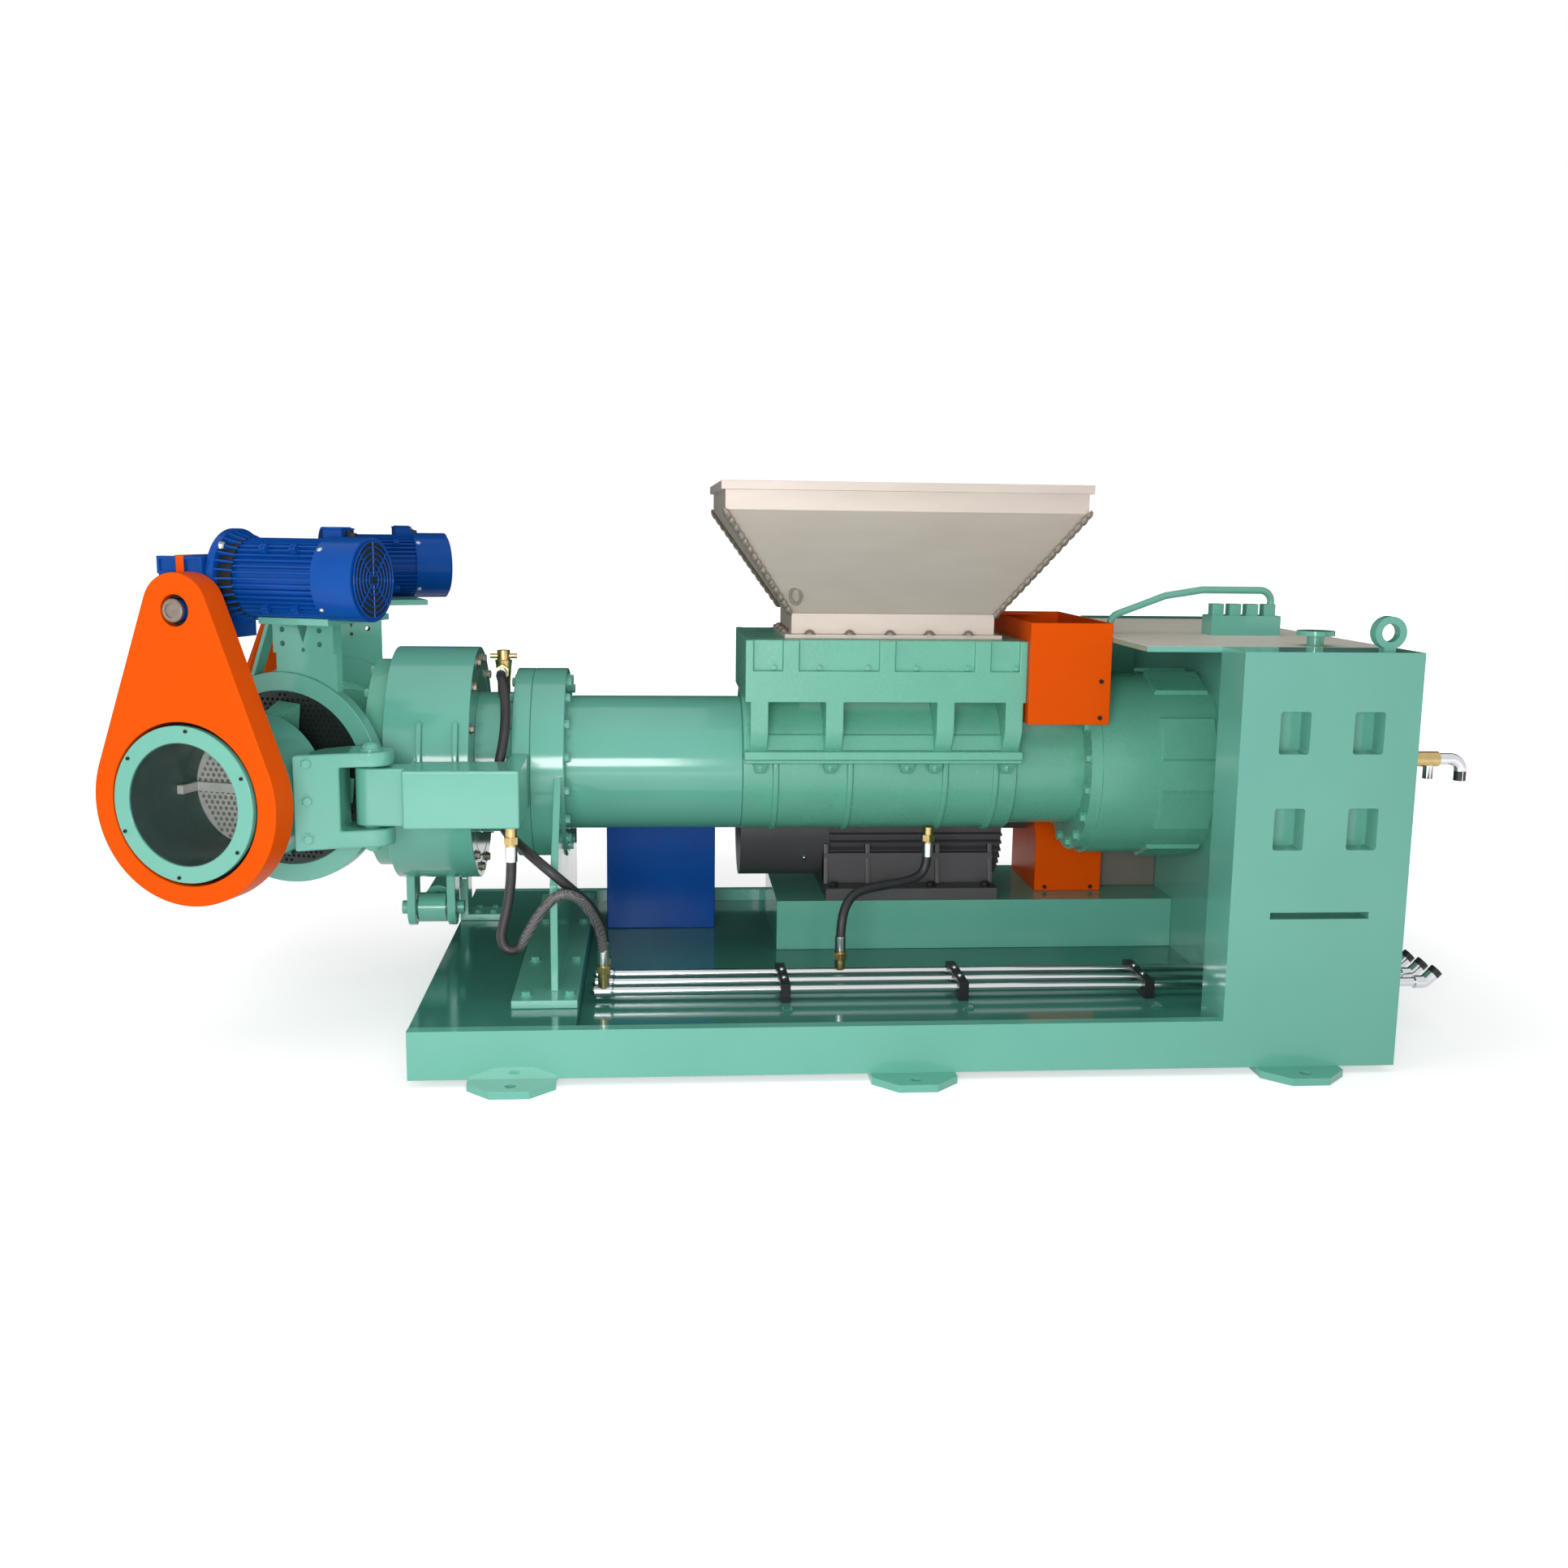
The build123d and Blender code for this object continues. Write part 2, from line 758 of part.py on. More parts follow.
# Main motor on its rail, with the coupling guard beside it
def build_main_drive():
    rail_top = tray_floor + rail_height
    rail_back = rail_front + rail_width
    save(slab(rail_left, bulkhead_x, rail_front, rail_back, tray_floor, rail_top), "motor_rail")
    motor_plane = Plane(origin=(motor_left, motor_y, motor_centre_z), x_dir=(0, 1, 0), z_dir=(1, 0, 0))
    with BuildPart() as motor:
        with BuildSketch(motor_plane):
            Circle(fan_cover_radius)
        extrude(amount=fan_cover_length)
        with BuildSketch(motor_plane.offset(fan_cover_length)):
            Circle(motor_core_radius)
            with PolarLocations((motor_core_radius + motor_radius) / 2, motor_fin_count):
                Rectangle(2 * (motor_radius - motor_core_radius), motor_fin_thickness)
            with BuildLine():
                CenterArc((0, 0), motor_radius, 0, full_turn)
            make_face(mode=Mode.INTERSECT)
        extrude(amount=motor_right - motor_left - fan_cover_length)
        with BuildSketch(motor_plane.offset(motor_right - motor_left)):
            Circle(shaft_radius)
        extrude(amount=coupling_guard_left - motor_right)
        foot_middle = (motor_foot_left + motor_foot_right) / 2
        with BuildSketch(Plane.XY.offset(rail_top)):
            with Locations((foot_middle, (rail_front + rail_back) / 2)):
                Rectangle(motor_foot_right - motor_foot_left, rail_width - 2 * motor_foot_margin)
        extrude(amount=motor_foot_height)
        with BuildSketch(Plane.XY.offset(rail_top)):
            with Locations((foot_middle, motor_y)):
                Rectangle(motor_foot_right - motor_foot_left, 2 * motor_radius)
        extrude(amount=motor_web_top - rail_top)
        with BuildSketch(Plane.XY.offset(motor_centre_z)):
            with Locations((foot_middle, motor_y + motor_box_width)):
                Rectangle(motor_box_length, motor_box_width)
        extrude(amount=motor_radius + motor_box_height - motor_box_width)
    save(motor.part, "main_motor")
    with BuildPart() as guard:
        guard_low = motor_y - coupling_guard_width / 2
        with BuildSketch(Plane.XY.offset(rail_top)):
            with Locations(((coupling_guard_left + coupling_guard_right) / 2, motor_y)):
                Rectangle(coupling_guard_right - coupling_guard_left, coupling_guard_width)
        extrude(amount=coupling_guard_top - rail_top)
        fillet(guard.edges().filter_by(Axis.X).group_by(Axis.Z)[-1], motor_y - guard_low - shaft_radius)
    save(guard.part, "coupling_guard")
    save(slab(coupling_guard_right, bulkhead_x, input_front, input_front + input_width, rail_top, input_top),
         "input_gearbox")


def build_tank():
    with BuildPart() as tank:
        with BuildSketch(Plane.XY.offset(tray_floor)):
            with Locations(((tank_left + tank_right) / 2, tank_front + tank_width / 2)):
                Rectangle(tank_right - tank_left, tank_width)
        extrude(amount=tank_height)
        with BuildSketch(Plane.XY.offset(tray_floor + tank_height)):
            with Locations(((tank_left + tank_right) / 2, tank_front + tank_width / 2)):
                Rectangle(tank_right - tank_left + 2 * tank_lid_lip, tank_width + 2 * tank_lid_lip)
        extrude(amount=tank_lid)
    save(tank.part, "oil_tank")


# Pedestal under the barrel flange: a foot plate and an upright web that cradles the flange
def build_pedestal():
    foot_top = base_top + pedestal_foot
    with BuildPart() as pedestal:
        with BuildSketch(Plane.XY.offset(base_top)):
            with Locations(((pedestal_left + pedestal_right) / 2, 0)):
                Rectangle(pedestal_right - pedestal_left, 2 * pedestal_half_width)
        extrude(amount=pedestal_foot)
        web_plane = Plane(origin=(pedestal_web_x, 0, 0), x_dir=(0, 1, 0), z_dir=(1, 0, 0))
        end_top = foot_top + pedestal_web_end_height
        with BuildSketch(web_plane):
            with BuildLine():
                Polyline((-pedestal_web_half_width, foot_top), (-pedestal_web_half_width, end_top),
                         (-pedestal_shoulder, axis_height), (pedestal_shoulder, axis_height),
                         (pedestal_web_half_width, end_top), (pedestal_web_half_width, foot_top), close=True)
            make_face()
            with Locations((0, axis_height)):
                Circle(flange_radius, mode=Mode.SUBTRACT)
        extrude(amount=pedestal_web)
    save(pedestal.part, "pedestal")


# Lock ring with its ears, and the cylinder that turns it
def build_lock():
    with BuildPart() as ring:
        with BuildSketch(barrel_plane(ring_left)):
            Circle(ring_outer_radius)
            Circle(ring_bore_radius, mode=Mode.SUBTRACT)
        extrude(amount=ring_right - ring_left)
        for side in (-1, 1):
            ear_left = ring_ear_x + side * ring_ear_spacing / 2 - ring_ear_thickness / 2
            with BuildSketch(barrel_plane(ear_left)):
                with Locations((0, -(ring_bore_radius + ring_outer_radius + 2 * ring_ear_reach) / 4)):
                    Rectangle(ring_ear_width, ring_ear_reach - (ring_bore_radius + ring_outer_radius) / 2)
                with Locations((0, -ring_ear_reach)):
                    Circle(ring_ear_width / 2)
                    Circle(ring_ear_hole, mode=Mode.SUBTRACT)
            extrude(amount=ring_ear_thickness)
        for share in ring_rib_shares:
            rib_left = ring_left + share * (ring_right - ring_left) - ring_rib_width / 2
            with BuildSketch(barrel_plane(rib_left)):
                with BuildLine():
                    outer = CenterArc((0, 0), ring_outer_radius + ring_rib_height, half_turn - ring_rib_angle,
                                      ring_rib_angle)
                    inner = CenterArc((0, 0), ring_outer_radius - ring_rib_width, half_turn - ring_rib_angle,
                                      ring_rib_angle)
                    Line(outer @ 0, inner @ 0)
                    Line(outer @ 1, inner @ 1)
                make_face()
            extrude(amount=ring_rib_width)
    save(ring.part, "lock_ring")
    eye_z = axis_height - ring_ear_reach
    eye_plane = Plane(origin=(ring_ear_x, 0, eye_z), x_dir=(0, 1, 0), z_dir=(1, 0, 0))
    pin_length = ring_ear_spacing + ring_ear_thickness + 2 * rod_pin_overhang
    rod_plane = Plane(origin=(ring_ear_x, 0, eye_z), x_dir=(1, 0, 0), z_dir=(0, 1, 0))
    with BuildPart() as rod:
        with BuildSketch(eye_plane.offset(-rod_eye_width / 2)):
            Circle(rod_eye_radius)
        extrude(amount=rod_eye_width)
        with BuildSketch(eye_plane.offset(-pin_length / 2)):
            Circle(rod_pin_radius)
        extrude(amount=pin_length)
        with BuildSketch(rod_plane):
            Circle(rod_radius)
        extrude(amount=rod_tail)
    save(rod.part, "lock_rod")
    pivot_plane = Plane(origin=(ring_ear_x, cylinder_pivot_y, eye_z), x_dir=(0, 1, 0), z_dir=(1, 0, 0))
    with BuildPart() as cylinder:
        with BuildSketch(rod_plane.offset(cylinder_front)):
            Circle(cylinder_radius)
        extrude(amount=cylinder_back - cylinder_front)
        with BuildSketch(rod_plane.offset(cylinder_back)):
            Rectangle(cylinder_eye_width, cylinder_neck_width)
        extrude(amount=cylinder_pivot_y - cylinder_back)
        with BuildSketch(pivot_plane.offset(-cylinder_eye_width / 2)):
            Circle(cylinder_eye_radius)
        extrude(amount=cylinder_eye_width)
        with BuildSketch(pivot_plane.offset(-cylinder_eye_width / 2)):
            Circle(cylinder_pin_radius + running_gap)
        extrude(amount=cylinder_eye_width, mode=Mode.SUBTRACT)
        with BuildSketch(rod_plane.offset(cylinder_front)):
            Circle(rod_radius + running_gap)
        extrude(amount=cylinder_bore_end - cylinder_front, mode=Mode.SUBTRACT)
    save(cylinder.part, "lock_cylinder")
    with BuildPart() as bracket:
        with BuildSketch(Plane.XY.offset(base_top)):
            with Locations((bracket_foot_length / 2 - half_length, cylinder_pivot_y)):
                Rectangle(bracket_foot_length, bracket_width)
        extrude(amount=bracket_foot_height)
        with BuildSketch(Plane.XY.offset(base_top)):
            with Locations((bracket_plate / 2 - half_length, cylinder_pivot_y)):
                Rectangle(bracket_plate, bracket_width)
        extrude(amount=eye_z - base_top)
        plate_plane = Plane(origin=(-half_length, cylinder_pivot_y, eye_z), x_dir=(0, 1, 0), z_dir=(1, 0, 0))
        with BuildSketch(plate_plane):
            Circle(bracket_width / 2)
        extrude(amount=bracket_plate)
        with BuildSketch(plate_plane):
            Circle(cylinder_pin_radius)
        extrude(amount=cylinder_pin_end + half_length)
    save(bracket.part, "lock_bracket")


# Hinge arm from the nose flange to the hinge pin, with the pin in its knuckle
def build_hinge():
    with BuildPart() as arm:
        with BuildSketch(Plane.XY.offset(arm_bottom)):
            with Locations(((arm_left + nose_right) / 2, (arm_front + arm_back) / 2)):
                Rectangle(nose_right - arm_left, arm_back - arm_front)
            with Locations(((pin_x + arm_left) / 2, pin_y)):
                Rectangle(arm_left - pin_x, 2 * knuckle_radius)
            with Locations((pin_x, pin_y)):
                Circle(knuckle_radius)
            with Locations(((nose_left + nose_right) / 2, arm_back / 2)):
                Rectangle(nose_right - nose_left, -arm_back)
        extrude(amount=arm_top - arm_bottom)
        with BuildSketch(barrel_plane(nose_left - cut_overrun)):
            Circle(flange_radius)
        extrude(amount=nose_right - nose_left + 2 * cut_overrun, mode=Mode.SUBTRACT)
        with BuildSketch(Plane.XY.offset(clevis_bottom)):
            with Locations((pin_x, pin_y)):
                Circle(pin_radius)
        extrude(amount=clevis_top - clevis_bottom)
    save(arm.part, "hinge_arm")


def plan_point(sideways, distance):
    turn = radians(branch_angle)
    return (head_x + cos(turn) * sideways - sin(turn) * distance,
            -sin(turn) * sideways - cos(turn) * distance)


# Clevis on the head: a block on the side of the front bearing housing, with an ear above the arm
# and an ear below it
def build_clevis():
    with BuildPart() as clevis:
        with BuildSketch(Plane.XY.offset(clevis_bottom)):
            with BuildLine():
                Polyline((clevis_face_x, clevis_front), (clevis_face_x, clevis_back),
                         plan_point(housing_radius, clevis_tail_start),
                         plan_point(housing_radius, clevis_tail_end), close=True)
            make_face()
        extrude(amount=clevis_top - clevis_bottom)
        for low, high in ((clevis_bottom, arm_bottom - ear_gap), (arm_top + ear_gap, clevis_top)):
            with BuildSketch(Plane.XY.offset(low)):
                with BuildLine():
                    Polyline((clevis_face_x, clevis_front), (pin_x, pin_y - ear_radius),
                             (pin_x, pin_y + ear_radius), (clevis_face_x, clevis_back), close=True)
                make_face()
                with Locations((pin_x, pin_y)):
                    Circle(ear_radius)
                    Circle(pin_radius + running_gap, mode=Mode.SUBTRACT)
            extrude(amount=high - low)
    save(clevis.part, "hinge_clevis")


# Head manifold: one inlet from the barrel, two branches
def build_manifold():
    face_x = ring_left - head_gap
    with BuildPart() as manifold:
        with BuildSketch(barrel_plane(head_x)):
            Circle(manifold_radius)
        extrude(amount=face_x - head_x)
        with Locations((head_x, 0, axis_height)):
            Sphere(manifold_radius)
        for hand in (1, -1):
            with BuildSketch(branch_plane(hand, 0)):
                Circle(branch_radius)
            extrude(amount=die_flange_back)
        with BuildSketch(barrel_plane(face_x)):
            Circle(2 * manifold_radius)
        extrude(amount=manifold_radius, mode=Mode.SUBTRACT)
        with BuildSketch(barrel_plane(face_x - head_flange_width)):
            Circle(head_flange_radius)
        extrude(amount=head_flange_width)
        with BuildSketch(barrel_plane(face_x)):
            Circle(spigot_radius)
        extrude(amount=seat_left - running_gap - face_x)
        for hand in (1, -1):
            with BuildSketch(branch_plane(hand, die_flange_back)):
                Circle(die_flange_radius + cut_overrun)
            extrude(amount=die_flange_front, mode=Mode.SUBTRACT)
    save(manifold.part, "head_manifold")


# Die holders, each with a sunk ring in its flange, and the die plates on their ends
def build_dies():
    with BuildPart() as holders:
        for hand in (1, -1):
            with BuildSketch(branch_plane(hand, die_flange_back)):
                Circle(die_flange_radius)
            extrude(amount=die_flange_front - die_flange_back)
            with BuildSketch(branch_plane(hand, die_flange_front)):
                Circle(die_ring_radius)
                Circle(die_pipe_radius, mode=Mode.SUBTRACT)
            extrude(amount=-die_ring_depth, mode=Mode.SUBTRACT)
            with BuildSketch(branch_plane(hand, die_flange_front)):
                Circle(die_pipe_radius)
            extrude(amount=die_cone_start - die_flange_front)
            with Locations(branch_plane(hand, die_cone_start)):
                Cone(die_pipe_radius, rotor_bore, housing_back - die_cone_start,
                     align=(Align.CENTER, Align.CENTER, Align.MIN))
            with BuildSketch(branch_plane(hand, housing_back)):
                Circle(rotor_bore)
            extrude(amount=die_plate_back - housing_back)
    save(holders.part, "die_holders")
    with BuildPart() as plates:
        for hand in (1, -1):
            with BuildSketch(branch_plane(hand, die_plate_back)):
                Circle(rotor_bore)
            extrude(amount=die_plate_front - die_plate_back)
    save(plates.part, "die_plates")


# One branch of the head: bearing housing, rotor, chain guard and drive
def build_branch(hand, name):
    with BuildPart() as housing:
        with BuildSketch(branch_plane(hand, housing_back)):
            Circle(housing_radius)
            Circle(rotor_bore, mode=Mode.SUBTRACT)
        extrude(amount=guard_back - housing_back)
        with BuildSketch(branch_plane(hand, housing_step)):
            Circle(rotor_radius + running_gap)
        extrude(amount=guard_back - housing_step, mode=Mode.SUBTRACT)
    save(housing.part, f"{name}_housing")
    with BuildPart() as rotor:
        with BuildSketch(branch_plane(hand, rotor_back)):
            Circle(rotor_radius)
        extrude(amount=rotor_face - rotor_back)
        with BuildSketch(branch_plane(hand, rotor_face - rotor_rim_width)):
            Circle(rotor_rim_radius)
        extrude(amount=rotor_rim_width)
        with BuildSketch(branch_plane(hand, rotor_back)):
            Circle(rotor_bore)
        extrude(amount=rotor_face - rotor_back, mode=Mode.SUBTRACT)
        knife_back = die_plate_front + knife_clearance
        knife_half = rotor_bore - knife_clearance
        with BuildSketch(branch_plane(hand, knife_back)):
            Rectangle(2 * knife_half, knife_width)
        extrude(amount=knife_thickness)
        with BuildSketch(branch_plane(hand, knife_back)):
            with Locations((knife_half - knife_arm_depth / 2, 0), (knife_arm_depth / 2 - knife_half, 0)):
                Rectangle(knife_arm_depth, knife_width)
        extrude(amount=rotor_back + knife_width - knife_back)
        with BuildSketch(branch_plane(hand, rotor_back)):
            Rectangle(2 * rotor_radius - knife_clearance, knife_width)
            Rectangle(2 * (knife_half - knife_arm_depth), knife_width, mode=Mode.SUBTRACT)
        extrude(amount=knife_width)
    save(rotor.part, f"{name}_rotor")
    with BuildPart() as guard:
        with BuildSketch(branch_plane(hand, guard_back)):
            with BuildLine():
                CenterArc((0, 0), guard_radius, 0, full_turn)
                CenterArc((0, chain_centres), guard_top_radius, 0, full_turn)
            make_hull()
            Circle(guard_hole_radius, mode=Mode.SUBTRACT)
            with Locations((0, chain_centres)):
                Circle(guard_shaft_hole, mode=Mode.SUBTRACT)
        extrude(amount=guard_front - guard_back)
        with BuildSketch(branch_plane(hand, guard_back)):
            Circle(guard_hole_radius)
            Circle(guard_seal_radius, mode=Mode.SUBTRACT)
        extrude(amount=guard_plate)
    save(guard.part, f"{name}_guard")
    build_drive(hand, name)


def build_drive(hand, name):
    turn = radians(branch_angle)
    along = Vector(cos(turn), -hand * sin(turn), 0)
    shaft_plane = branch_plane(hand, drive_axis)
    motor_origin = shaft_plane.origin + Vector(0, 0, chain_centres + worm_offset)
    motor_plane = Plane(origin=motor_origin, x_dir=(0, 0, 1), z_dir=along)
    with BuildPart() as drive:
        with BuildSketch(branch_plane(hand, guard_back - reducer_depth)):
            reducer_middle = hand * (reducer_right - reducer_left) / 2
            with Locations((reducer_middle, chain_centres + (reducer_bottom + reducer_top) / 2)):
                Rectangle(reducer_left + reducer_right, reducer_top - reducer_bottom)
        extrude(amount=reducer_depth)
        with BuildSketch(branch_plane(hand, guard_back)):
            with Locations((0, chain_centres)):
                Circle(drive_shaft_radius)
        extrude(amount=drive_shaft_end - guard_back)
        with BuildSketch(motor_plane.offset(reducer_right)):
            Circle(drive_body_radius)
        extrude(amount=drive_collar_length)
        fins_left = reducer_right + drive_collar_length
        with BuildSketch(motor_plane.offset(fins_left)):
            Circle(drive_core_radius)
            with PolarLocations((drive_core_radius + drive_body_radius) / 2, drive_fin_count):
                Rectangle(2 * (drive_body_radius - drive_core_radius), drive_fin_thickness)
            with BuildLine():
                CenterArc((0, 0), drive_body_radius, 0, full_turn)
            make_face(mode=Mode.INTERSECT)
        extrude(amount=drive_body_right - fins_left)
        with BuildSketch(motor_plane.offset(drive_flange_left)):
            Circle(drive_flange_radius)
        extrude(amount=drive_flange_width)
        with BuildSketch(motor_plane.offset(drive_body_right)):
            Circle(drive_fan_radius)
        extrude(amount=drive_tail - drive_body_right)
        with BuildSketch(motor_plane.offset(terminal_left)):
            with Locations(((drive_body_radius + terminal_height) / 2, -terminal_back)):
                Rectangle(drive_body_radius + terminal_height, terminal_width)
        extrude(amount=terminal_length)
    save(drive.part, f"{name}_drive")


# A pierced post and a slanting strut on each die flange, with a shelf that reaches under the motor
def build_supports():
    shelf_top = chain_centres + worm_offset - drive_body_radius - running_gap
    shelf_bottom = shelf_top - support_plate
    post_middle = (post_right - post_left) / 2
    with BuildPart() as supports:
        for hand in (1, -1):
            with BuildSketch(branch_plane(hand, die_flange_back)):
                with Locations((hand * post_middle, shelf_bottom / 2)):
                    Rectangle(post_left + post_right, shelf_bottom)
                Circle(die_flange_radius, mode=Mode.SUBTRACT)
            extrude(amount=die_flange_front - post_recess - die_flange_back)
            with BuildSketch(branch_plane(hand, die_flange_back)):
                with Locations((hand * post_middle, (post_step + shelf_bottom) / 2)):
                    Rectangle(post_left + post_right, shelf_bottom - post_step)
            extrude(amount=die_flange_front - die_flange_back)
            with BuildSketch(branch_plane(hand, die_flange_back)):
                first_hole = post_hole_edge - post_left
                for side in (first_hole, first_hole + post_hole_spacing):
                    with Locations((hand * side, post_hole_high), (hand * side, post_hole_low)):
                        Circle(post_hole_radius)
                with Locations((hand * post_middle, post_drain)):
                    Circle(post_drain_radius)
                with BuildLine():
                    Polyline((hand * post_middle - post_notch_width / 2, post_notch_top),
                             (hand * post_middle + post_notch_width / 2, post_notch_top),
                             (hand * post_middle, post_notch_tip), close=True)
                make_face()
            extrude(amount=die_flange_front - die_flange_back, mode=Mode.SUBTRACT)
            with BuildSketch(branch_plane(hand, die_flange_back)):
                with BuildLine():
                    Polyline((-hand * strut_top, shelf_top),
                             (hand * (strut_thickness - strut_top), shelf_top),
                             (hand * (strut_thickness - strut_foot), 0), (-hand * strut_foot, 0), close=True)
                make_face()
                Circle(die_flange_radius, mode=Mode.SUBTRACT)
            extrude(amount=die_flange_front - die_flange_back)
            with BuildSketch(branch_plane(hand, die_flange_back)):
                with Locations((hand * (post_right - strut_top) / 2, shelf_top - support_plate / 2)):
                    Rectangle(post_right + strut_top, support_plate)
            extrude(amount=bridge_front - die_flange_back)
            with BuildSketch(branch_plane(hand, die_flange_back)):
                with Locations((hand * (shelf_left + shelf_right) / 2, shelf_top - support_plate / 2)):
                    Rectangle(shelf_right - shelf_left, support_plate)
            extrude(amount=shelf_front - die_flange_back)
    save(supports.part, "motor_supports")


# Oil pipes along the tray, through the bulkhead and the rear panel, with three clamps
def build_pipes():
    pipe_plane = Plane(origin=(pipe_left, 0, pipe_z), x_dir=(0, 1, 0), z_dir=(1, 0, 0))
    with BuildPart() as pipes:
        for index in range(pipe_count):
            with BuildSketch(pipe_plane):
                with Locations((pipe_front_y + index * pipe_spacing, 0)):
                    Circle(pipe_radius)
            extrude(amount=pipe_right - pipe_left)
    save(pipes.part, "oil_pipes")
    with BuildPart() as clamps:
        back_y = pipe_front_y + (pipe_count - 1) * pipe_spacing
        for share in clamp_shares:
            place = pipe_left + share * (pipe_right - pipe_left)
            with BuildSketch(Plane.XY.offset(tray_floor)):
                with Locations((place, (pipe_front_y + back_y) / 2)):
                    Rectangle(clamp_width, back_y - pipe_front_y + 2 * clamp_margin)
            extrude(amount=pipe_z + pipe_radius + clamp_cap - tray_floor)
        with BuildSketch(pipe_plane):
            for index in range(pipe_count):
                with Locations((pipe_front_y + index * pipe_spacing, 0)):
                    Circle(pipe_radius + running_gap)
        extrude(amount=pipe_right - pipe_left, mode=Mode.SUBTRACT)
    save(clamps.part, "pipe_clamps")


# A hose: straight runs joined by arcs as large as the runs allow
def hose(route, name):
    points = [Vector(*point) for point in route]
    bends = []
    for before, corner, after in zip(points, points[1:], points[2:]):
        first = corner - before
        second = after - corner
        shorter = min(first.length, second.length)
        bends.append(hose_bend_share * shorter / tan(radians(first.get_angle(second)) / 2))
    with BuildPart() as tube:
        with BuildLine() as line:
            FilletPolyline(*points, radius=bends)
        path = line.wire()
        with BuildSketch(Plane(origin=path @ 0, z_dir=path % 0)):
            RegularPolygon(hose_radius, hose_sides)
        sweep(path=path)
    print(name, "bend radii", [round(bend) for bend in bends])
    save(tube.part, name)


# Brass fittings at the hose ends, and the valve on the barrel nose
def build_hoses():
    hose(nose_hose_route, "nose_hose")
    hose(arm_hose_route, "arm_hose")
    hose(feed_hose_route, "feed_hose")
    pipe_top = pipe_z + pipe_radius
    with BuildPart() as fittings:
        for route, top in ((arm_hose_route, arm_bottom), (feed_hose_route, feed_fitting_top)):
            start = route[0]
            with BuildSketch(Plane.XY.offset(start[2])):
                with Locations((start[0], start[1])):
                    Circle(fitting_radius)
            extrude(amount=top - start[2])
        for route in (nose_hose_route, arm_hose_route, feed_hose_route):
            end = route[-1]
            with BuildSketch(Plane.XY.offset(pipe_top)):
                with Locations((end[0], end[1])):
                    Circle(fitting_radius)
            extrude(amount=end[2] - pipe_top)
        with BuildSketch(Plane.XY.offset(axis_height + neck_radius)):
            with Locations((valve_x, valve_y)):
                Circle(valve_radius)
        extrude(amount=valve_height)
        elbow_plane = Plane(origin=(valve_x, valve_y, valve_elbow_z), x_dir=(1, 0, 0), z_dir=(0, -1, 0))
        with BuildSketch(elbow_plane):
            Circle(fitting_radius)
        extrude(amount=valve_y - nose_hose_route[0][1])
        handle_z = axis_height + neck_radius + valve_height - valve_handle_drop
        handle_plane = Plane(origin=(valve_x - valve_handle_length / 2, valve_y, handle_z), x_dir=(0, 1, 0),
                             z_dir=(1, 0, 0))
        with BuildSketch(handle_plane):
            Circle(valve_handle_radius)
        extrude(amount=valve_handle_length)
    save(fittings.part, "brass_fittings")


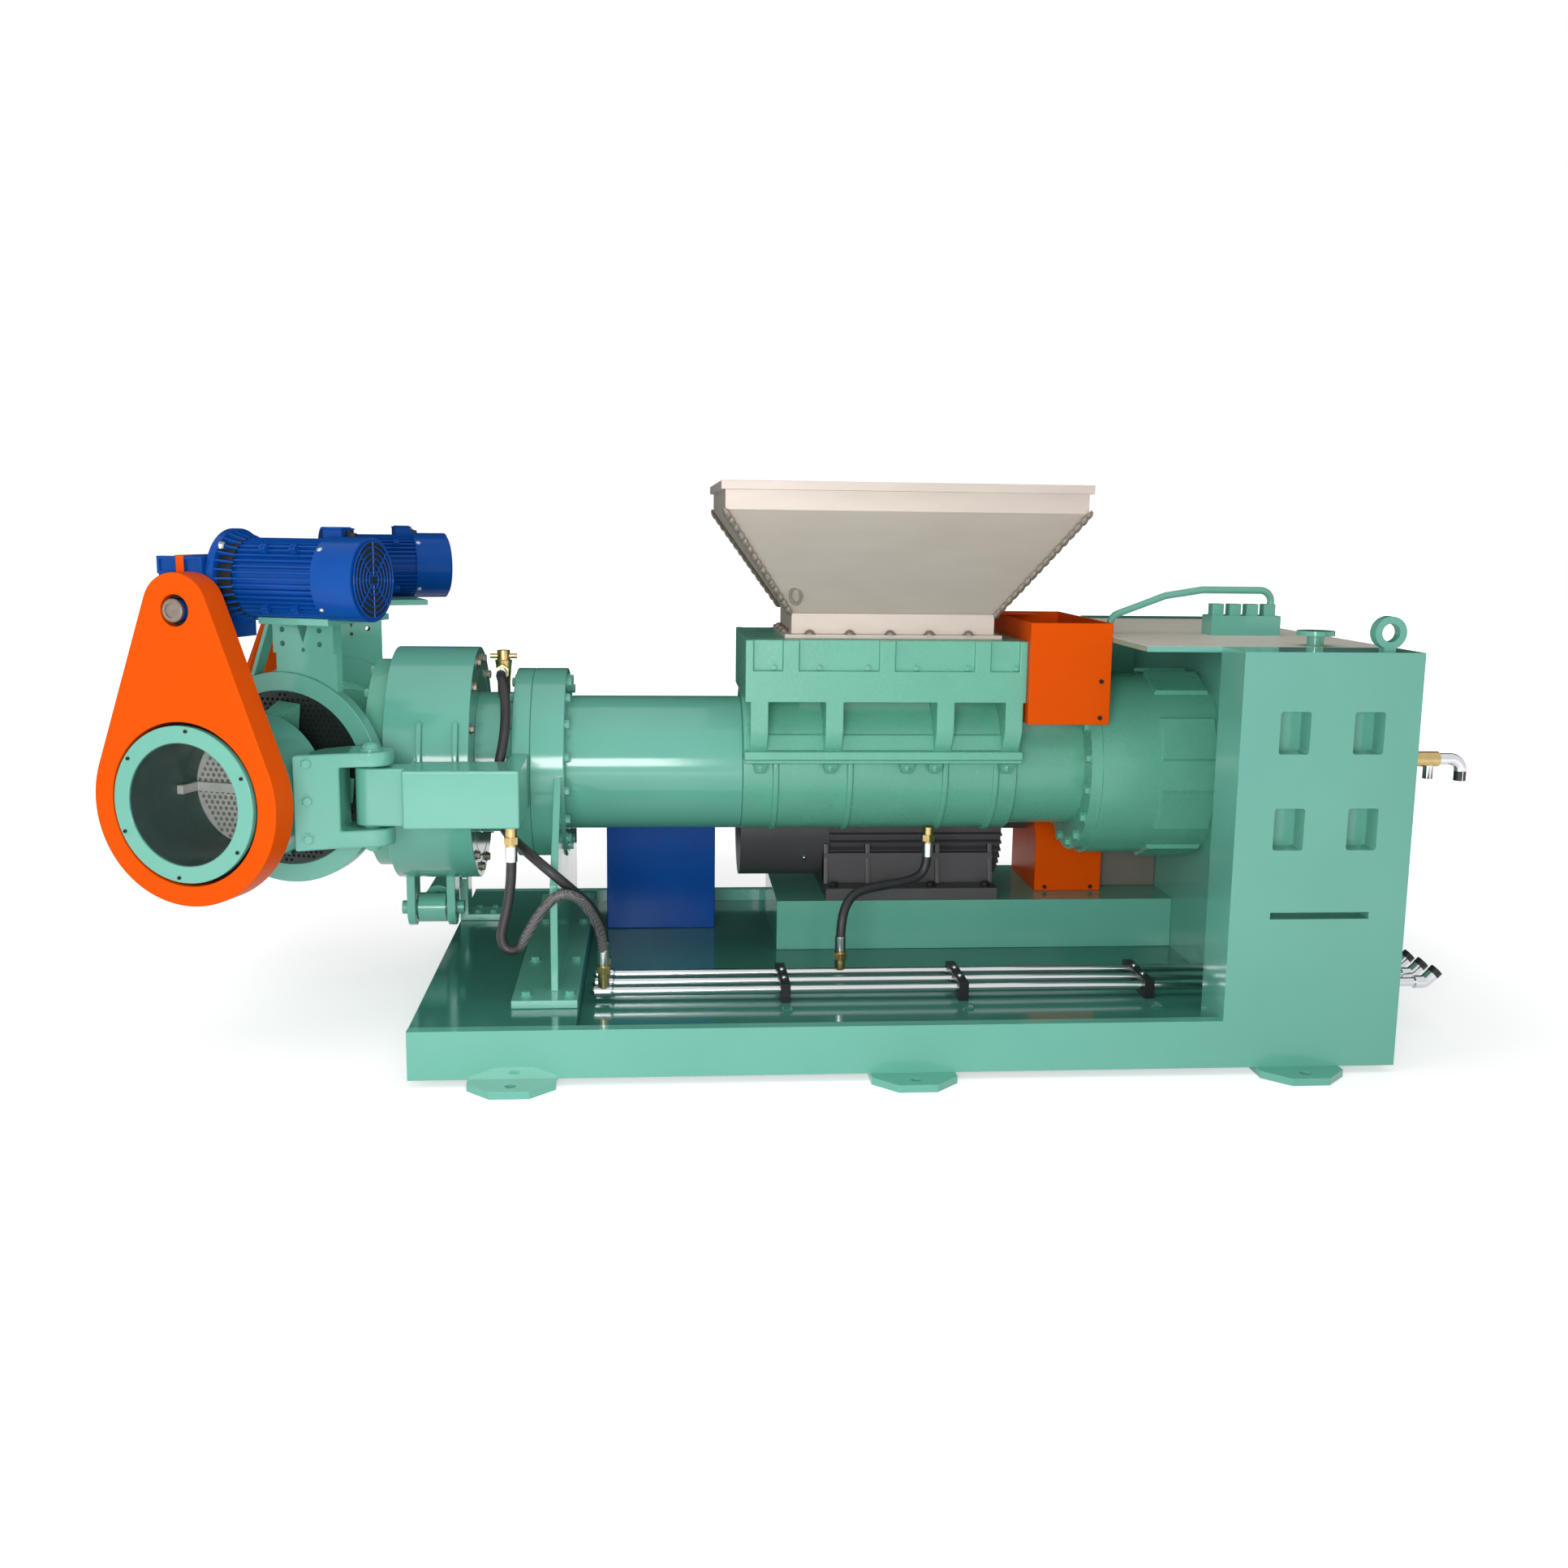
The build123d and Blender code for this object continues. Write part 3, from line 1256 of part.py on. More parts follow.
# Lifting eye, valve block and breather on the housing top, and the outlets at its right end
def build_top():
    with BuildPart() as top:
        eye_plane = Plane(origin=(eye_x, eye_y, column_top + eye_rise), x_dir=(1, 0, 0), z_dir=(0, -1, 0))
        with BuildSketch(eye_plane.offset(-eye_thickness / 2)):
            Circle(eye_radius)
            with Locations((0, -eye_rise / 2)):
                Rectangle(eye_stem_width, eye_rise)
            Circle(eye_bore, mode=Mode.SUBTRACT)
        extrude(amount=eye_thickness)
        block_middle = (valve_block_left + valve_block_right) / 2
        block_y = valve_block_front + valve_block_width / 2
        with BuildSketch(Plane.XY.offset(column_top)):
            with Locations((block_middle, block_y)):
                Rectangle(valve_block_right - valve_block_left, valve_block_width)
        extrude(amount=valve_block_height)
        valve_pitch = (valve_block_right - valve_block_left) / valve_count
        with BuildSketch(Plane.XY.offset(column_top + valve_block_height)):
            with Locations((block_middle, block_y)):
                with GridLocations(valve_pitch, valve_pitch, valve_count, 1):
                    Rectangle(valve_size, valve_size)
        extrude(amount=valve_rise)
        with BuildLine() as lube_line:
            FilletPolyline(*[(x, lube_pipe_y, z) for x, z in lube_pipe_route], radius=lube_pipe_bend)
        lube_path = lube_line.wire()
        with BuildSketch(Plane(origin=lube_path @ 0, z_dir=lube_path % 0)):
            Circle(lube_pipe_radius)
        sweep(path=lube_path)
        with BuildSketch(Plane.XY.offset(column_top)):
            with Locations((breather_x, breather_y)):
                Circle(breather_radius)
        extrude(amount=breather_height)
        with BuildSketch(Plane.XY.offset(column_top + breather_height)):
            with Locations((breather_x, breather_y)):
                Circle(breather_cap_radius)
        extrude(amount=breather_cap_height)
    save(top.part, "top_fittings")
    with BuildPart() as outlet:
        side_plane = Plane(origin=(half_length, outlet_y, outlet_z), x_dir=(0, 1, 0), z_dir=(1, 0, 0))
        with BuildSketch(side_plane):
            Circle(outlet_radius)
        extrude(amount=outlet_length)
        with BuildSketch(Plane.XY.offset(outlet_z)):
            with Locations((outlet_drain_x, outlet_y)):
                Circle(outlet_drain_radius)
        extrude(amount=-outlet_drain_length)
        elbow_left = half_length + outlet_length
        with BuildLine() as elbow_line:
            FilletPolyline((elbow_left, outlet_y, outlet_z), (elbow_left + elbow_reach, outlet_y, outlet_z),
                           (elbow_left + elbow_reach, outlet_y, outlet_z - elbow_drop), radius=elbow_bend)
        elbow_path = elbow_line.wire()
        with BuildSketch(Plane(origin=elbow_path @ 0, z_dir=elbow_path % 0)):
            Circle(elbow_radius)
        sweep(path=elbow_path)
        for index in range(pipe_count):
            pipe_y = pipe_front_y + index * pipe_spacing
            bend_x = pipe_right + pipe_elbow_reach
            with BuildLine() as end_line:
                FilletPolyline((pipe_right, pipe_y, pipe_z), (bend_x, pipe_y, pipe_z),
                               (bend_x + pipe_elbow_rise, pipe_y, pipe_z + pipe_elbow_rise),
                               radius=pipe_elbow_bend)
            end_path = end_line.wire()
            with BuildSketch(Plane(origin=end_path @ 0, z_dir=end_path % 0)):
                Circle(pipe_cap_radius)
            sweep(path=end_path)
    save(outlet.part, "rear_outlets")


os.makedirs("parts", exist_ok=True)
build_base()
build_feet()
build_columns()
build_barrel()
build_feed()
build_hopper()
build_cover()
build_gearbox()
build_main_drive()
build_tank()
build_pedestal()
build_lock()
build_hinge()
build_clevis()
build_manifold()
build_dies()
build_branch(1, "front")
build_branch(-1, "back")
build_supports()
build_pipes()
build_hoses()
build_top()
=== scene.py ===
import bpy
from math import cos, pi, radians, sin
from mathutils import Matrix, Vector


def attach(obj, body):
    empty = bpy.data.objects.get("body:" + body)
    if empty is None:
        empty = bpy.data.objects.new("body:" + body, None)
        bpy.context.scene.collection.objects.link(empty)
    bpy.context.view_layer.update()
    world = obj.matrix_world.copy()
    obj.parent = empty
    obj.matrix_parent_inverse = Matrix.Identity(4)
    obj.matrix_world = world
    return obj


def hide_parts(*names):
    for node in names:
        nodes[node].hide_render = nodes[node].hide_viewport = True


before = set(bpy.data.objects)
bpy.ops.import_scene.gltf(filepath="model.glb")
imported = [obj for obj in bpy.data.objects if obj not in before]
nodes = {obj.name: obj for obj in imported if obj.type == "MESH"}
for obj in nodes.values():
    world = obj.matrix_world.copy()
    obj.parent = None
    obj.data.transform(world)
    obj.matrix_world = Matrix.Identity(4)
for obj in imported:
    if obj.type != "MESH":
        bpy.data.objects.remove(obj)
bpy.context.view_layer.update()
print("frame loaded:", len(nodes), "nodes")


def fromHex(text):  # sRGB hex to linear
    channels = [int(text[start:start + 2], 16) / 255 for start in (1, 3, 5)]
    return [c / 12.92 if c <= 0.04045 else ((c + 0.055) / 1.055) ** 2.4 for c in channels] + [1]


def mm(size):  # millimetres as metres
    return size / 1000


def metres(place):  # a place given in mm
    return Vector(place) / 1000


def addNode(tree, kind, settings, links=()):
    node = tree.nodes.new(kind)
    for name, value in settings.items():
        if isinstance(name, int) or name in node.inputs:
            node.inputs[name].default_value = value
        else:
            setattr(node, name, value)
    for name, socket in links:
        tree.links.new(socket, node.inputs[name])
    return node


def perMetre(millimetres):  # a pattern's size in mm as a texture scale
    return 1000 / millimetres


# Sprayed machine enamel: soft clouds in the colour, a fine orange peel, and gloss that breaks up a little.
# The peel is drawn a few times coarser than real, so that it shows at this distance. Sizes in mm.
enamels = {
    "greenEnamel": {"colour": "#70BAA8", "shade": "#66AF9D", "rough": 0.11, "gloss": 0.5, "peel": 7, "lift": 0.05,
                    "cloud": 260},
    "castGreenEnamel": {"colour": "#6FBAA2", "shade": "#61AB93", "rough": 0.26, "gloss": 0.5, "peel": 13, "lift": 0.3,
                        "cloud": 120},
    # the deck green is the machine green darkened as painted shade, used on the deck, the tray floor, the clamp feet
    # and the slots
    "shadedGreenEnamel": {"colour": "#448A7D", "shade": "#3B7B6F", "rough": 0.1, "gloss": 0.5, "peel": 30, "lift": 0.02,
                   "cloud": 300},
    "orangeEnamel": {"colour": "#EA5600", "shade": "#E05000", "rough": 0.36, "gloss": 0.08, "peel": 6, "lift": 0.05,
                     "cloud": 220},
    "blueEnamel": {"colour": "#0E50A6", "shade": "#0B4594", "rough": 0.18, "gloss": 0.12, "peel": 7, "lift": 0.08,
                   "cloud": 90},
    "greyEnamel": {"colour": "#555356", "shade": "#4A484B", "rough": 0.38, "gloss": 0.4, "peel": 8, "lift": 0.1,
                   "cloud": 130},
    "paleTopCream": {"colour": "#E9E5D8", "shade": "#D6D1C1", "rough": 0.45, "gloss": 0.4, "peel": 60, "lift": 0.4,
                 "cloud": 90},
    "taupeEnamel": {"colour": "#7A746C", "shade": "#6B655E", "rough": 0.42, "gloss": 0.4, "peel": 8, "lift": 0.1,
                    "cloud": 130},
}
# Bare metals: turned, rolled or brushed lines of these sizes in mm, which stretch the highlights
metals = {
    "stainlessSheet": {"colour": "#CFC4BB", "shade": "#BEB2A8", "rough": 0.46, "metal": 0.3, "line": (240, 500, 60)},
    "plateSteel": {"colour": "#C2C5BE", "shade": "#A9ACA5", "rough": 0.5, "metal": 0.2, "line": (30, 30, 30)},
    "turnedSteel": {"colour": "#D3D4D5", "shade": "#B9BABC", "rough": 0.26, "metal": 1, "line": (7, 7, 7)},
    "oiledSteel": {"colour": "#48625E", "shade": "#334946", "rough": 0.32, "metal": 0.25, "line": (90, 90, 90)},
    "drilledSteel": {"colour": "#26332F", "shade": "#161F1D", "rough": 0.4, "metal": 0.3, "line": (60, 60, 60)},
    "brightPipe": {"colour": "#E4E5E8", "shade": "#C4C7CB", "rough": 0.18, "metal": 1, "line": (400, 8, 8)},
    "brassFitting": {"colour": "#D4BC88", "shade": "#B3995F", "rough": 0.28, "metal": 1, "line": (9, 9, 9)},
    "boltSteel": {"colour": "#9A8F84", "shade": "#776C62", "rough": 0.42, "metal": 0.7, "line": (10, 10, 10)},
    "weldScale": {"colour": "#6A6259", "shade": "#A69C90", "rough": 0.5, "metal": 0.5, "line": (16, 16, 16)},
}
# Moulded rubber and plastic: dark, with a dull bloom; shadowBlack is a near-black laid as painted shade in gaps,
# hollows and hole floors, and on small black screws
darks = {
    "hoseRubber": {"colour": "#222123", "shade": "#323033", "rough": 0.42, "grain": 9, "lift": 0.15},
    "blackPlastic": {"colour": "#151516", "shade": "#202022", "rough": 0.4, "grain": 6, "lift": 0.06},
    "shadowBlack": {"colour": "#0B0C0C", "shade": "#101211", "rough": 0.7, "grain": 12, "lift": 0.02},
}
relief = {"peelDepth": 0.002, "lineScale": 4, "lineLift": 0.05, "grainDepth": 0.001, "grainDetail": 2, "bloom": 60,
          "cloudDetail": 5, "smoother": 0.04, "rougher": 0.06, "enamelIor": 1.5}
materials = {}


def startMaterial(name):
    material = bpy.data.materials.new(name)
    material.use_nodes = True
    tree = material.node_tree
    shader = tree.nodes["Principled BSDF"]
    place = addNode(tree, "ShaderNodeTexCoord", {}).outputs["Object"]
    materials[name] = material
    return tree, shader, place


def colourClouds(tree, shader, place, look, scale):
    clouds = addNode(tree, "ShaderNodeTexNoise", {"Scale": scale, "Detail": relief["cloudDetail"]}, [("Vector", place)])
    blend = addNode(tree, "ShaderNodeMix",
                    {"data_type": "RGBA", 6: fromHex(look["colour"]), 7: fromHex(look["shade"])},
                    [(0, clouds.outputs["Fac"])])
    tree.links.new(blend.outputs[2], shader.inputs["Base Color"])
    gloss = addNode(tree, "ShaderNodeMapRange", {"To Min": look["rough"] - relief["smoother"],
                                                 "To Max": look["rough"] + relief["rougher"]},
                    [("Value", clouds.outputs["Fac"])])
    tree.links.new(gloss.outputs["Result"], shader.inputs["Roughness"])
    return blend


def grainBump(tree, shader, place, scale, lift, depth):
    grain = addNode(tree, "ShaderNodeTexNoise", {"Scale": scale, "Detail": relief["grainDetail"]}, [("Vector", place)])
    bump = addNode(tree, "ShaderNodeBump", {"Strength": lift, "Distance": depth}, [("Height", grain.outputs["Fac"])])
    tree.links.new(bump.outputs["Normal"], shader.inputs["Normal"])


for name, look in enamels.items():
    tree, shader, place = startMaterial(name)
    colourClouds(tree, shader, place, look, perMetre(look["cloud"]))
    grainBump(tree, shader, place, perMetre(look["peel"]), look["lift"], relief["peelDepth"])
    shader.inputs["IOR"].default_value = relief["enamelIor"]
    shader.inputs["Specular IOR Level"].default_value = look["gloss"]

for name, look in metals.items():
    tree, shader, place = startMaterial(name)
    stretch = addNode(tree, "ShaderNodeMapping", {"Scale": [perMetre(size) for size in look["line"]]},
                      [("Vector", place)])
    colourClouds(tree, shader, stretch.outputs["Vector"], look, 1)
    grainBump(tree, shader, stretch.outputs["Vector"], relief["lineScale"], relief["lineLift"], relief["grainDepth"])
    shader.inputs["Metallic"].default_value = look["metal"]

for name, look in darks.items():
    tree, shader, place = startMaterial(name)
    colourClouds(tree, shader, place, look, perMetre(relief["bloom"]))
    grainBump(tree, shader, place, perMetre(look["grain"]), look["lift"], relief["grainDepth"])

# Wire braid over rubber: grey strands that start where the bare rubber ends, 4 mm apart
braid = {"start": -1.128, "end": -1.112, "strand": 4, "lift": 0.2, "colour": "#7C7A7A", "gap": "#2B292A"}
tree, shader, place = startMaterial("braidedHose")
rubber = colourClouds(tree, shader, place, darks["hoseRubber"], perMetre(relief["bloom"]))
axes = addNode(tree, "ShaderNodeSeparateXYZ", {}, [(0, place)])
along = addNode(tree, "ShaderNodeMapRange", {"From Min": braid["start"], "From Max": braid["end"]},
                [("Value", axes.outputs["X"])])
strands = addNode(tree, "ShaderNodeTexChecker",
                  {"Scale": perMetre(braid["strand"]), "Color1": fromHex(braid["colour"]),
                   "Color2": fromHex(braid["gap"])},
                  [("Vector", place)])
coat = addNode(tree, "ShaderNodeMix", {"data_type": "RGBA"},
               [(0, along.outputs["Result"]), (6, rubber.outputs[2]), (7, strands.outputs["Color"])])
tree.links.new(coat.outputs[2], shader.inputs["Base Color"])
grainBump(tree, shader, place, perMetre(braid["strand"]), braid["lift"], relief["grainDepth"])
print("materials ready:", len(materials))

# What each CAD node is finished with, and the edge radius in mm that its plates or castings have
finishes = {
    "greenEnamel": {"anchor_feet": 3, "rear_panel": 3, "gearbox_bulkhead": 3, "top_deck": 3, "barrel": 4,
                    "barrel_nose": 4, "pedestal": 3, "lock_ring": 5, "lock_bracket": 3, "hinge_arm": 7,
                    "hinge_clevis": 6, "die_holders": 3, "front_housing": 3, "back_housing": 3, "motor_supports": 2,
                    "motor_rail": 3, "lock_cylinder": 3, "lock_rod": 2, "front_rotor": 3, "back_rotor": 3,
                    "top_fittings": 2, "side_sills": 0, "side_columns": 0},
    "castGreenEnamel": {"feed_box": 5, "feed_casing": 4, "gearbox": 5, "head_manifold": 5},
    # the deck and the tray floor take the green darkened as painted shade
    "shadedGreenEnamel": {"left_deck": 3, "tray_floor": 2},
    "orangeEnamel": {"shaft_cover": 3, "front_guard": 4, "back_guard": 4, "coupling_guard": 3},
    "blueEnamel": {"front_drive": 1, "back_drive": 1, "oil_tank": 4},
    "greyEnamel": {"main_motor": 1},
    "taupeEnamel": {"input_gearbox": 5},
    "stainlessSheet": {"hopper": 1, "hopper_collar": 2},
    "turnedSteel": {"die_plates": 1},
    "brightPipe": {"oil_pipes": 1},
    "blackPlastic": {"pipe_clamps": 2},
    "brassFitting": {"brass_fittings": 2, "rear_outlets": 2},
    "hoseRubber": {"nose_hose": 0, "arm_hose": 0, "feed_hose": 0},
}
# Doubled corners and the triangles of a flat face are merged, then corners sharper than an angle are rounded. A face
# looks one way if the cosine between the two passes facing.
mending = {"gap": 0.00001, "flat": 0.5, "sharp": 35, "facing": 0.9, "weight": 100}


def addModifier(piece, kind, settings):
    modifier = piece.modifiers.new(kind.lower(), kind)
    for name, value in settings.items():
        setattr(modifier, name, value)
    return modifier


def edgeRound(size, segments=2):  # settings of a bevel, its size in mm
    return {"width": mm(size), "segments": segments, "limit_method": "ANGLE",
            "angle_limit": radians(mending["sharp"]), "use_clamp_overlap": True}


for finish, members in finishes.items():
    for nodeName, edge in members.items():
        node = nodes[nodeName]
        node.data.materials.clear()
        node.data.materials.append(materials[finish])
        if edge:
            addModifier(node, "WELD", {"merge_threshold": mending["gap"]})
            addModifier(node, "DECIMATE", {"decimate_type": "DISSOLVE", "angle_limit": radians(mending["flat"])})
            addModifier(node, "BEVEL", edgeRound(edge))
            addModifier(node, "WEIGHTED_NORMAL", {"weight": mending["weight"]})


def paintFaces(piece, finish, test):  # a second finish on the faces that a test picks
    mesh = piece.data
    mesh.materials.append(materials[finish])
    index = len(mesh.materials) - 1
    for face in mesh.polygons:
        if test(face):
            face.material_index = index


# Pale cream on the upward faces of the top plates, and plated steel elbows with black mouths on the brass rear outlet.
# Places in metres.
outlets = {"elbowStart": 1.497, "mouth": 0.872, "drain": 0.892, "lowest": 0.4}
paintFaces(nodes["top_deck"], "paleTopCream", lambda face: face.normal.z > mending["facing"])
paintFaces(nodes["rear_outlets"], "brightPipe",
           lambda face: face.center.x > outlets["elbowStart"] or face.center.z < outlets["drain"])
paintFaces(nodes["rear_outlets"], "blackPlastic", lambda face: outlets["lowest"] < face.center.z < outlets["mouth"])
print("CAD nodes finished")


def addHose(name, settings):
    curve = bpy.data.curves.new(name, "CURVE")
    curve.dimensions = "3D"
    curve.bevel_depth = settings["diameter"] / 2
    curve.bevel_resolution = hoseShape["sides"]
    curve.resolution_u = hoseShape["steps"]
    curve.use_fill_caps = True
    spline = curve.splines.new("NURBS")
    spline.points.add(len(settings["route"]) - 1)
    for point, place in zip(spline.points, settings["route"]):
        point.co = (*metres(place), 1)
    spline.order_u = hoseShape["order"]
    spline.use_endpoint_u = True
    curve.materials.append(materials[settings["finish"]])
    hose = bpy.data.objects.new(name, curve)
    bpy.context.scene.collection.objects.link(hose)
    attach(hose, "frame")
    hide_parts(settings["node"])


# Hose routes in mm, from fitting to fitting; lengths and diameters in metres
hoseShape = {"sides": 6, "steps": 12, "order": 3}
hoses = {
    "noseHose": {"node": "nose_hose", "finish": "hoseRubber", "diameter": 0.03, "length": 1.27, "route": [
        (-1205, -122, 1085), (-1205, -180, 1085), (-1190, -252, 1068), (-1176, -314, 1002), (-1178, -354, 910),
        (-1198, -386, 815), (-1203, -402, 725), (-1182, -436, 652), (-1130, -500, 616), (-1075, -566, 584),
        (-1014, -598, 540), (-962, -548, 480), (-916, -458, 412), (-884, -378, 322), (-884, -378, 240)]},
    "armHose": {"node": "arm_hose", "finish": "braidedHose", "diameter": 0.03, "length": 0.9, "route": [
        (-1144, -560, 622), (-1144, -560, 548), (-1152, -563, 470), (-1166, -569, 404), (-1178, -574, 356),
        (-1164, -578, 316), (-1126, -583, 316), (-1100, -588, 366), (-1056, -596, 442), (-1004, -602, 494),
        (-946, -588, 474), (-908, -540, 402), (-884, -468, 322), (-884, -468, 240)]},
    "feedHose": {"node": "feed_hose", "finish": "hoseRubber", "diameter": 0.03, "length": 0.57, "route": [
        (158, -100, 532), (158, -100, 470), (138, -108, 424), (80, -136, 410), (-14, -182, 407),
        (-92, -226, 400), (-130, -262, 364), (-146, -288, 300), (-146, -288, 225)]},
}
for name, settings in hoses.items():
    addHose(name, settings)
print("hoses laid:", len(hoses))


left, rightward, ahead, backward, downward, upward = (
    (-1, 0, 0), (1, 0, 0), (0, -1, 0), (0, 1, 0), (0, 0, -1), (0, 0, 1))
hands = ((1, "front"), (-1, "back"))  # the two branches of the head
# Sides of the round shapes, from the widest to the thinnest
facets = {"wide": 96, "middle": 64, "plain": 48, "slim": 32, "washer": 16, "drill": 12, "hook": 10, "wire": 8, "hex": 6}


def choose(*pieces):
    bpy.ops.object.select_all(action="DESELECT")
    for piece in pieces:
        piece.select_set(True)
    bpy.context.view_layer.objects.active = pieces[0]


def editAll():  # edit mode with everything selected
    bpy.ops.object.mode_set(mode="EDIT")
    bpy.ops.mesh.select_all(action="SELECT")


def endEdit():
    bpy.ops.object.mode_set(mode="OBJECT")


def pickFaces(piece, *ways):  # selects the faces that look one of these ways, and stays in edit mode
    bpy.ops.object.mode_set(mode="EDIT")
    bpy.ops.mesh.select_mode(type="FACE")
    bpy.ops.mesh.select_all(action="DESELECT")
    endEdit()
    for face in piece.data.polygons:
        face.select = any(face.normal.dot(Vector(way)) > mending["facing"] for way in ways)
    bpy.ops.object.mode_set(mode="EDIT")


def chamfer(rim, rise):  # insets the chosen faces and lifts them
    bpy.ops.mesh.inset(thickness=rim)
    bpy.ops.transform.translate(value=(0, 0, rise))


def step(rim, move):  # insets the chosen faces and pulls or sinks their middle with straight walls
    bpy.ops.mesh.inset(thickness=rim)
    bpy.ops.mesh.extrude_region_move(TRANSFORM_OT_translate={"value": move})


def taper(piece, way, share, **about):  # narrows the face that looks one way
    pickFaces(piece, way)
    bpy.ops.transform.resize(value=share, **about)
    endEdit()


def applyModifier(piece, kind, settings):
    choose(piece)
    bpy.ops.object.modifier_apply(modifier=addModifier(piece, kind, settings).name)


def softenEdges(piece, size, segments=2):
    applyModifier(piece, "BEVEL", edgeRound(size, segments))


def carve(piece, tool):  # cuts a tool's shape out of a piece
    applyModifier(piece, "BOOLEAN", {"operation": "DIFFERENCE", "object": tool, "solver": "EXACT"})
    bpy.data.objects.remove(tool)


def addBlock(low, high):  # a box between two corners in mm
    bpy.ops.object.select_all(action="DESELECT")
    bpy.ops.mesh.primitive_cube_add(size=1)
    block = bpy.context.object
    middle, size = metres(Vector(low) + Vector(high)) / 2, metres(Vector(high) - Vector(low))
    block.data.transform(Matrix.Translation(middle) @ Matrix.Diagonal((*size, 1)))
    return block


def addRound(radius, low, high, sides=facets["plain"], ends="NGON"):  # a cylinder along z, in metres
    bpy.ops.object.select_all(action="DESELECT")
    bpy.ops.mesh.primitive_cylinder_add(vertices=sides, radius=radius, depth=high - low, end_fill_type=ends)
    drum = bpy.context.object
    drum.data.transform(Matrix.Translation((0, 0, (low + high) / 2)))
    return drum


def addTorus(radius, wire, segments, wireSides):  # a ring of round wire, in mm
    bpy.ops.object.select_all(action="DESELECT")
    bpy.ops.mesh.primitive_torus_add(major_radius=mm(radius), minor_radius=mm(wire), major_segments=segments,
                                     minor_segments=wireSides)
    return bpy.context.object


def addCap(segments, rings, cut, stretch):  # a ball cut flat at a height and stretched, left in edit mode
    bpy.ops.object.select_all(action="DESELECT")
    bpy.ops.mesh.primitive_uv_sphere_add(segments=segments, ring_count=rings, radius=1)
    cap = bpy.context.object
    editAll()
    bpy.ops.mesh.bisect(plane_co=(0, 0, cut), plane_no=upward, use_fill=True, clear_inner=True)
    bpy.ops.mesh.select_all(action="SELECT")
    bpy.ops.transform.resize(value=stretch)
    return cap


def settle(piece, name, finish, body, matrix=None, smooth=mending["sharp"]):
    piece.name = name
    piece.data.name = name
    if matrix:
        piece.data.transform(matrix)
    piece.data.materials.clear()
    piece.data.materials.append(materials[finish])
    choose(piece)
    bpy.ops.object.shade_smooth_by_angle(angle=radians(smooth))
    applyModifier(piece, "WEIGHTED_NORMAL", {"weight": mending["weight"], "keep_sharp": True})
    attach(piece, body)
    return piece


def addCopy(name, pattern):
    copy = bpy.data.objects.new(name, pattern.data.copy())
    bpy.context.scene.collection.objects.link(copy)
    return copy


def spread(pattern, matrices, keep=False):  # one modelled piece, copied to every place and joined
    copies = []
    for matrix in matrices:
        copies.append(addCopy(pattern.name, pattern))
        copies[-1].data.transform(matrix)
    if not keep:
        bpy.data.objects.remove(pattern)
    choose(*copies)
    bpy.ops.object.join()
    return copies[0]


def polar(pattern, count, start=0):
    return spread(pattern, [Matrix.Rotation(2 * pi * (index + start) / count, 4, "Z") for index in range(count)])


def aim(place, outward, size=1):  # turns a piece's z to a direction and sets it at a place in mm
    turn = Vector(outward).to_track_quat("Z", "Y").to_matrix().to_4x4()
    return Matrix.Translation(metres(place)) @ turn @ Matrix.Scale(size, 4)


# Both branches of the head: across, up and out of the outlet. The hand is 1 for the front and -1 for the back.
head = {"centre": (-1714, 0, 784), "angle": 20}


def branchFrame(hand, distance=0):
    turn = radians(head["angle"])
    outward = Vector((-sin(turn), -hand * cos(turn), 0))
    sideways = Vector((hand * cos(turn), -sin(turn), 0))
    centre = metres(Vector(head["centre"]) + outward * distance)
    return Matrix.Translation(centre) @ Matrix((sideways, upward, outward)).transposed().to_4x4()


# The drive motors: up, across and along the motor, with the origin on the gear's centre line
drive = {"axis": 604, "height": 606}


def driveFrame(hand):
    turn = radians(head["angle"])
    along = Vector((cos(turn), -hand * sin(turn), 0))
    rise = Vector(upward)
    centre = branchFrame(hand, drive["axis"]).translation + rise * mm(drive["height"])
    return Matrix.Translation(centre) @ Matrix((rise, along.cross(rise), along)).transposed().to_4x4()


# The sill and the columns are one welded frame, so their meshes are united and the seam goes. Slot places in metres.
baseFrame = {"edge": 4, "coplanar": 1, "slot": (0.40, 0.47), "front": 0.94, "largest": 0.02}
halves = []
for nodeName in ("side_columns", "side_sills"):
    half = addCopy(nodeName + "Copy", nodes[nodeName])
    choose(half)
    editAll()
    bpy.ops.mesh.remove_doubles(threshold=mending["gap"])
    endEdit()
    halves.append(half)
welded, sills = halves
applyModifier(welded, "BOOLEAN", {"operation": "UNION", "object": sills, "solver": "EXACT"})
bpy.data.objects.remove(sills)
editAll()
bpy.ops.mesh.dissolve_limited(angle_limit=radians(baseFrame["coplanar"]))
endEdit()
softenEdges(welded, baseFrame["edge"])
settle(welded, "baseFrame", "greenEnamel", "frame")
slotLow, slotHigh = baseFrame["slot"]
paintFaces(welded, "shadedGreenEnamel", lambda face: slotLow < face.center.z < slotHigh and face.area < baseFrame["largest"]
           and abs(face.center.y) < baseFrame["front"])  # painted shade inside the slot in each column, in the darkened deck green
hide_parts("side_sills", "side_columns")
print("base frame welded:", len(welded.data.polygons), "faces")

# Fastener patterns, one unit in radius and standing on z = 0: a head with a chamfer, and a washer, socket or thread.
# A washer has its radius, thickness and height, and a core its rim and how far it stands out.
heads = {
    "hex": {"low": 0.16, "high": 0.86, "sides": 6, "rim": 0.14, "rise": 0.1, "washer": (1.32, 0.2, 0.06)},
    "socket": {"low": -0.1, "high": 0.7, "sides": 14, "rim": 0.14, "rise": 0.12, "core": (0.36, -0.4)},
    "stud": {"low": 0, "high": 0.8, "sides": 6, "rim": 0.12, "rise": 0.08, "core": (0.3, 0.5)},
}
dome = {"segments": 16, "rings": 10, "cut": 0, "stretch": (1, 1, 0.8)}
domeWasher = (1.3, 0.16, 0.08)


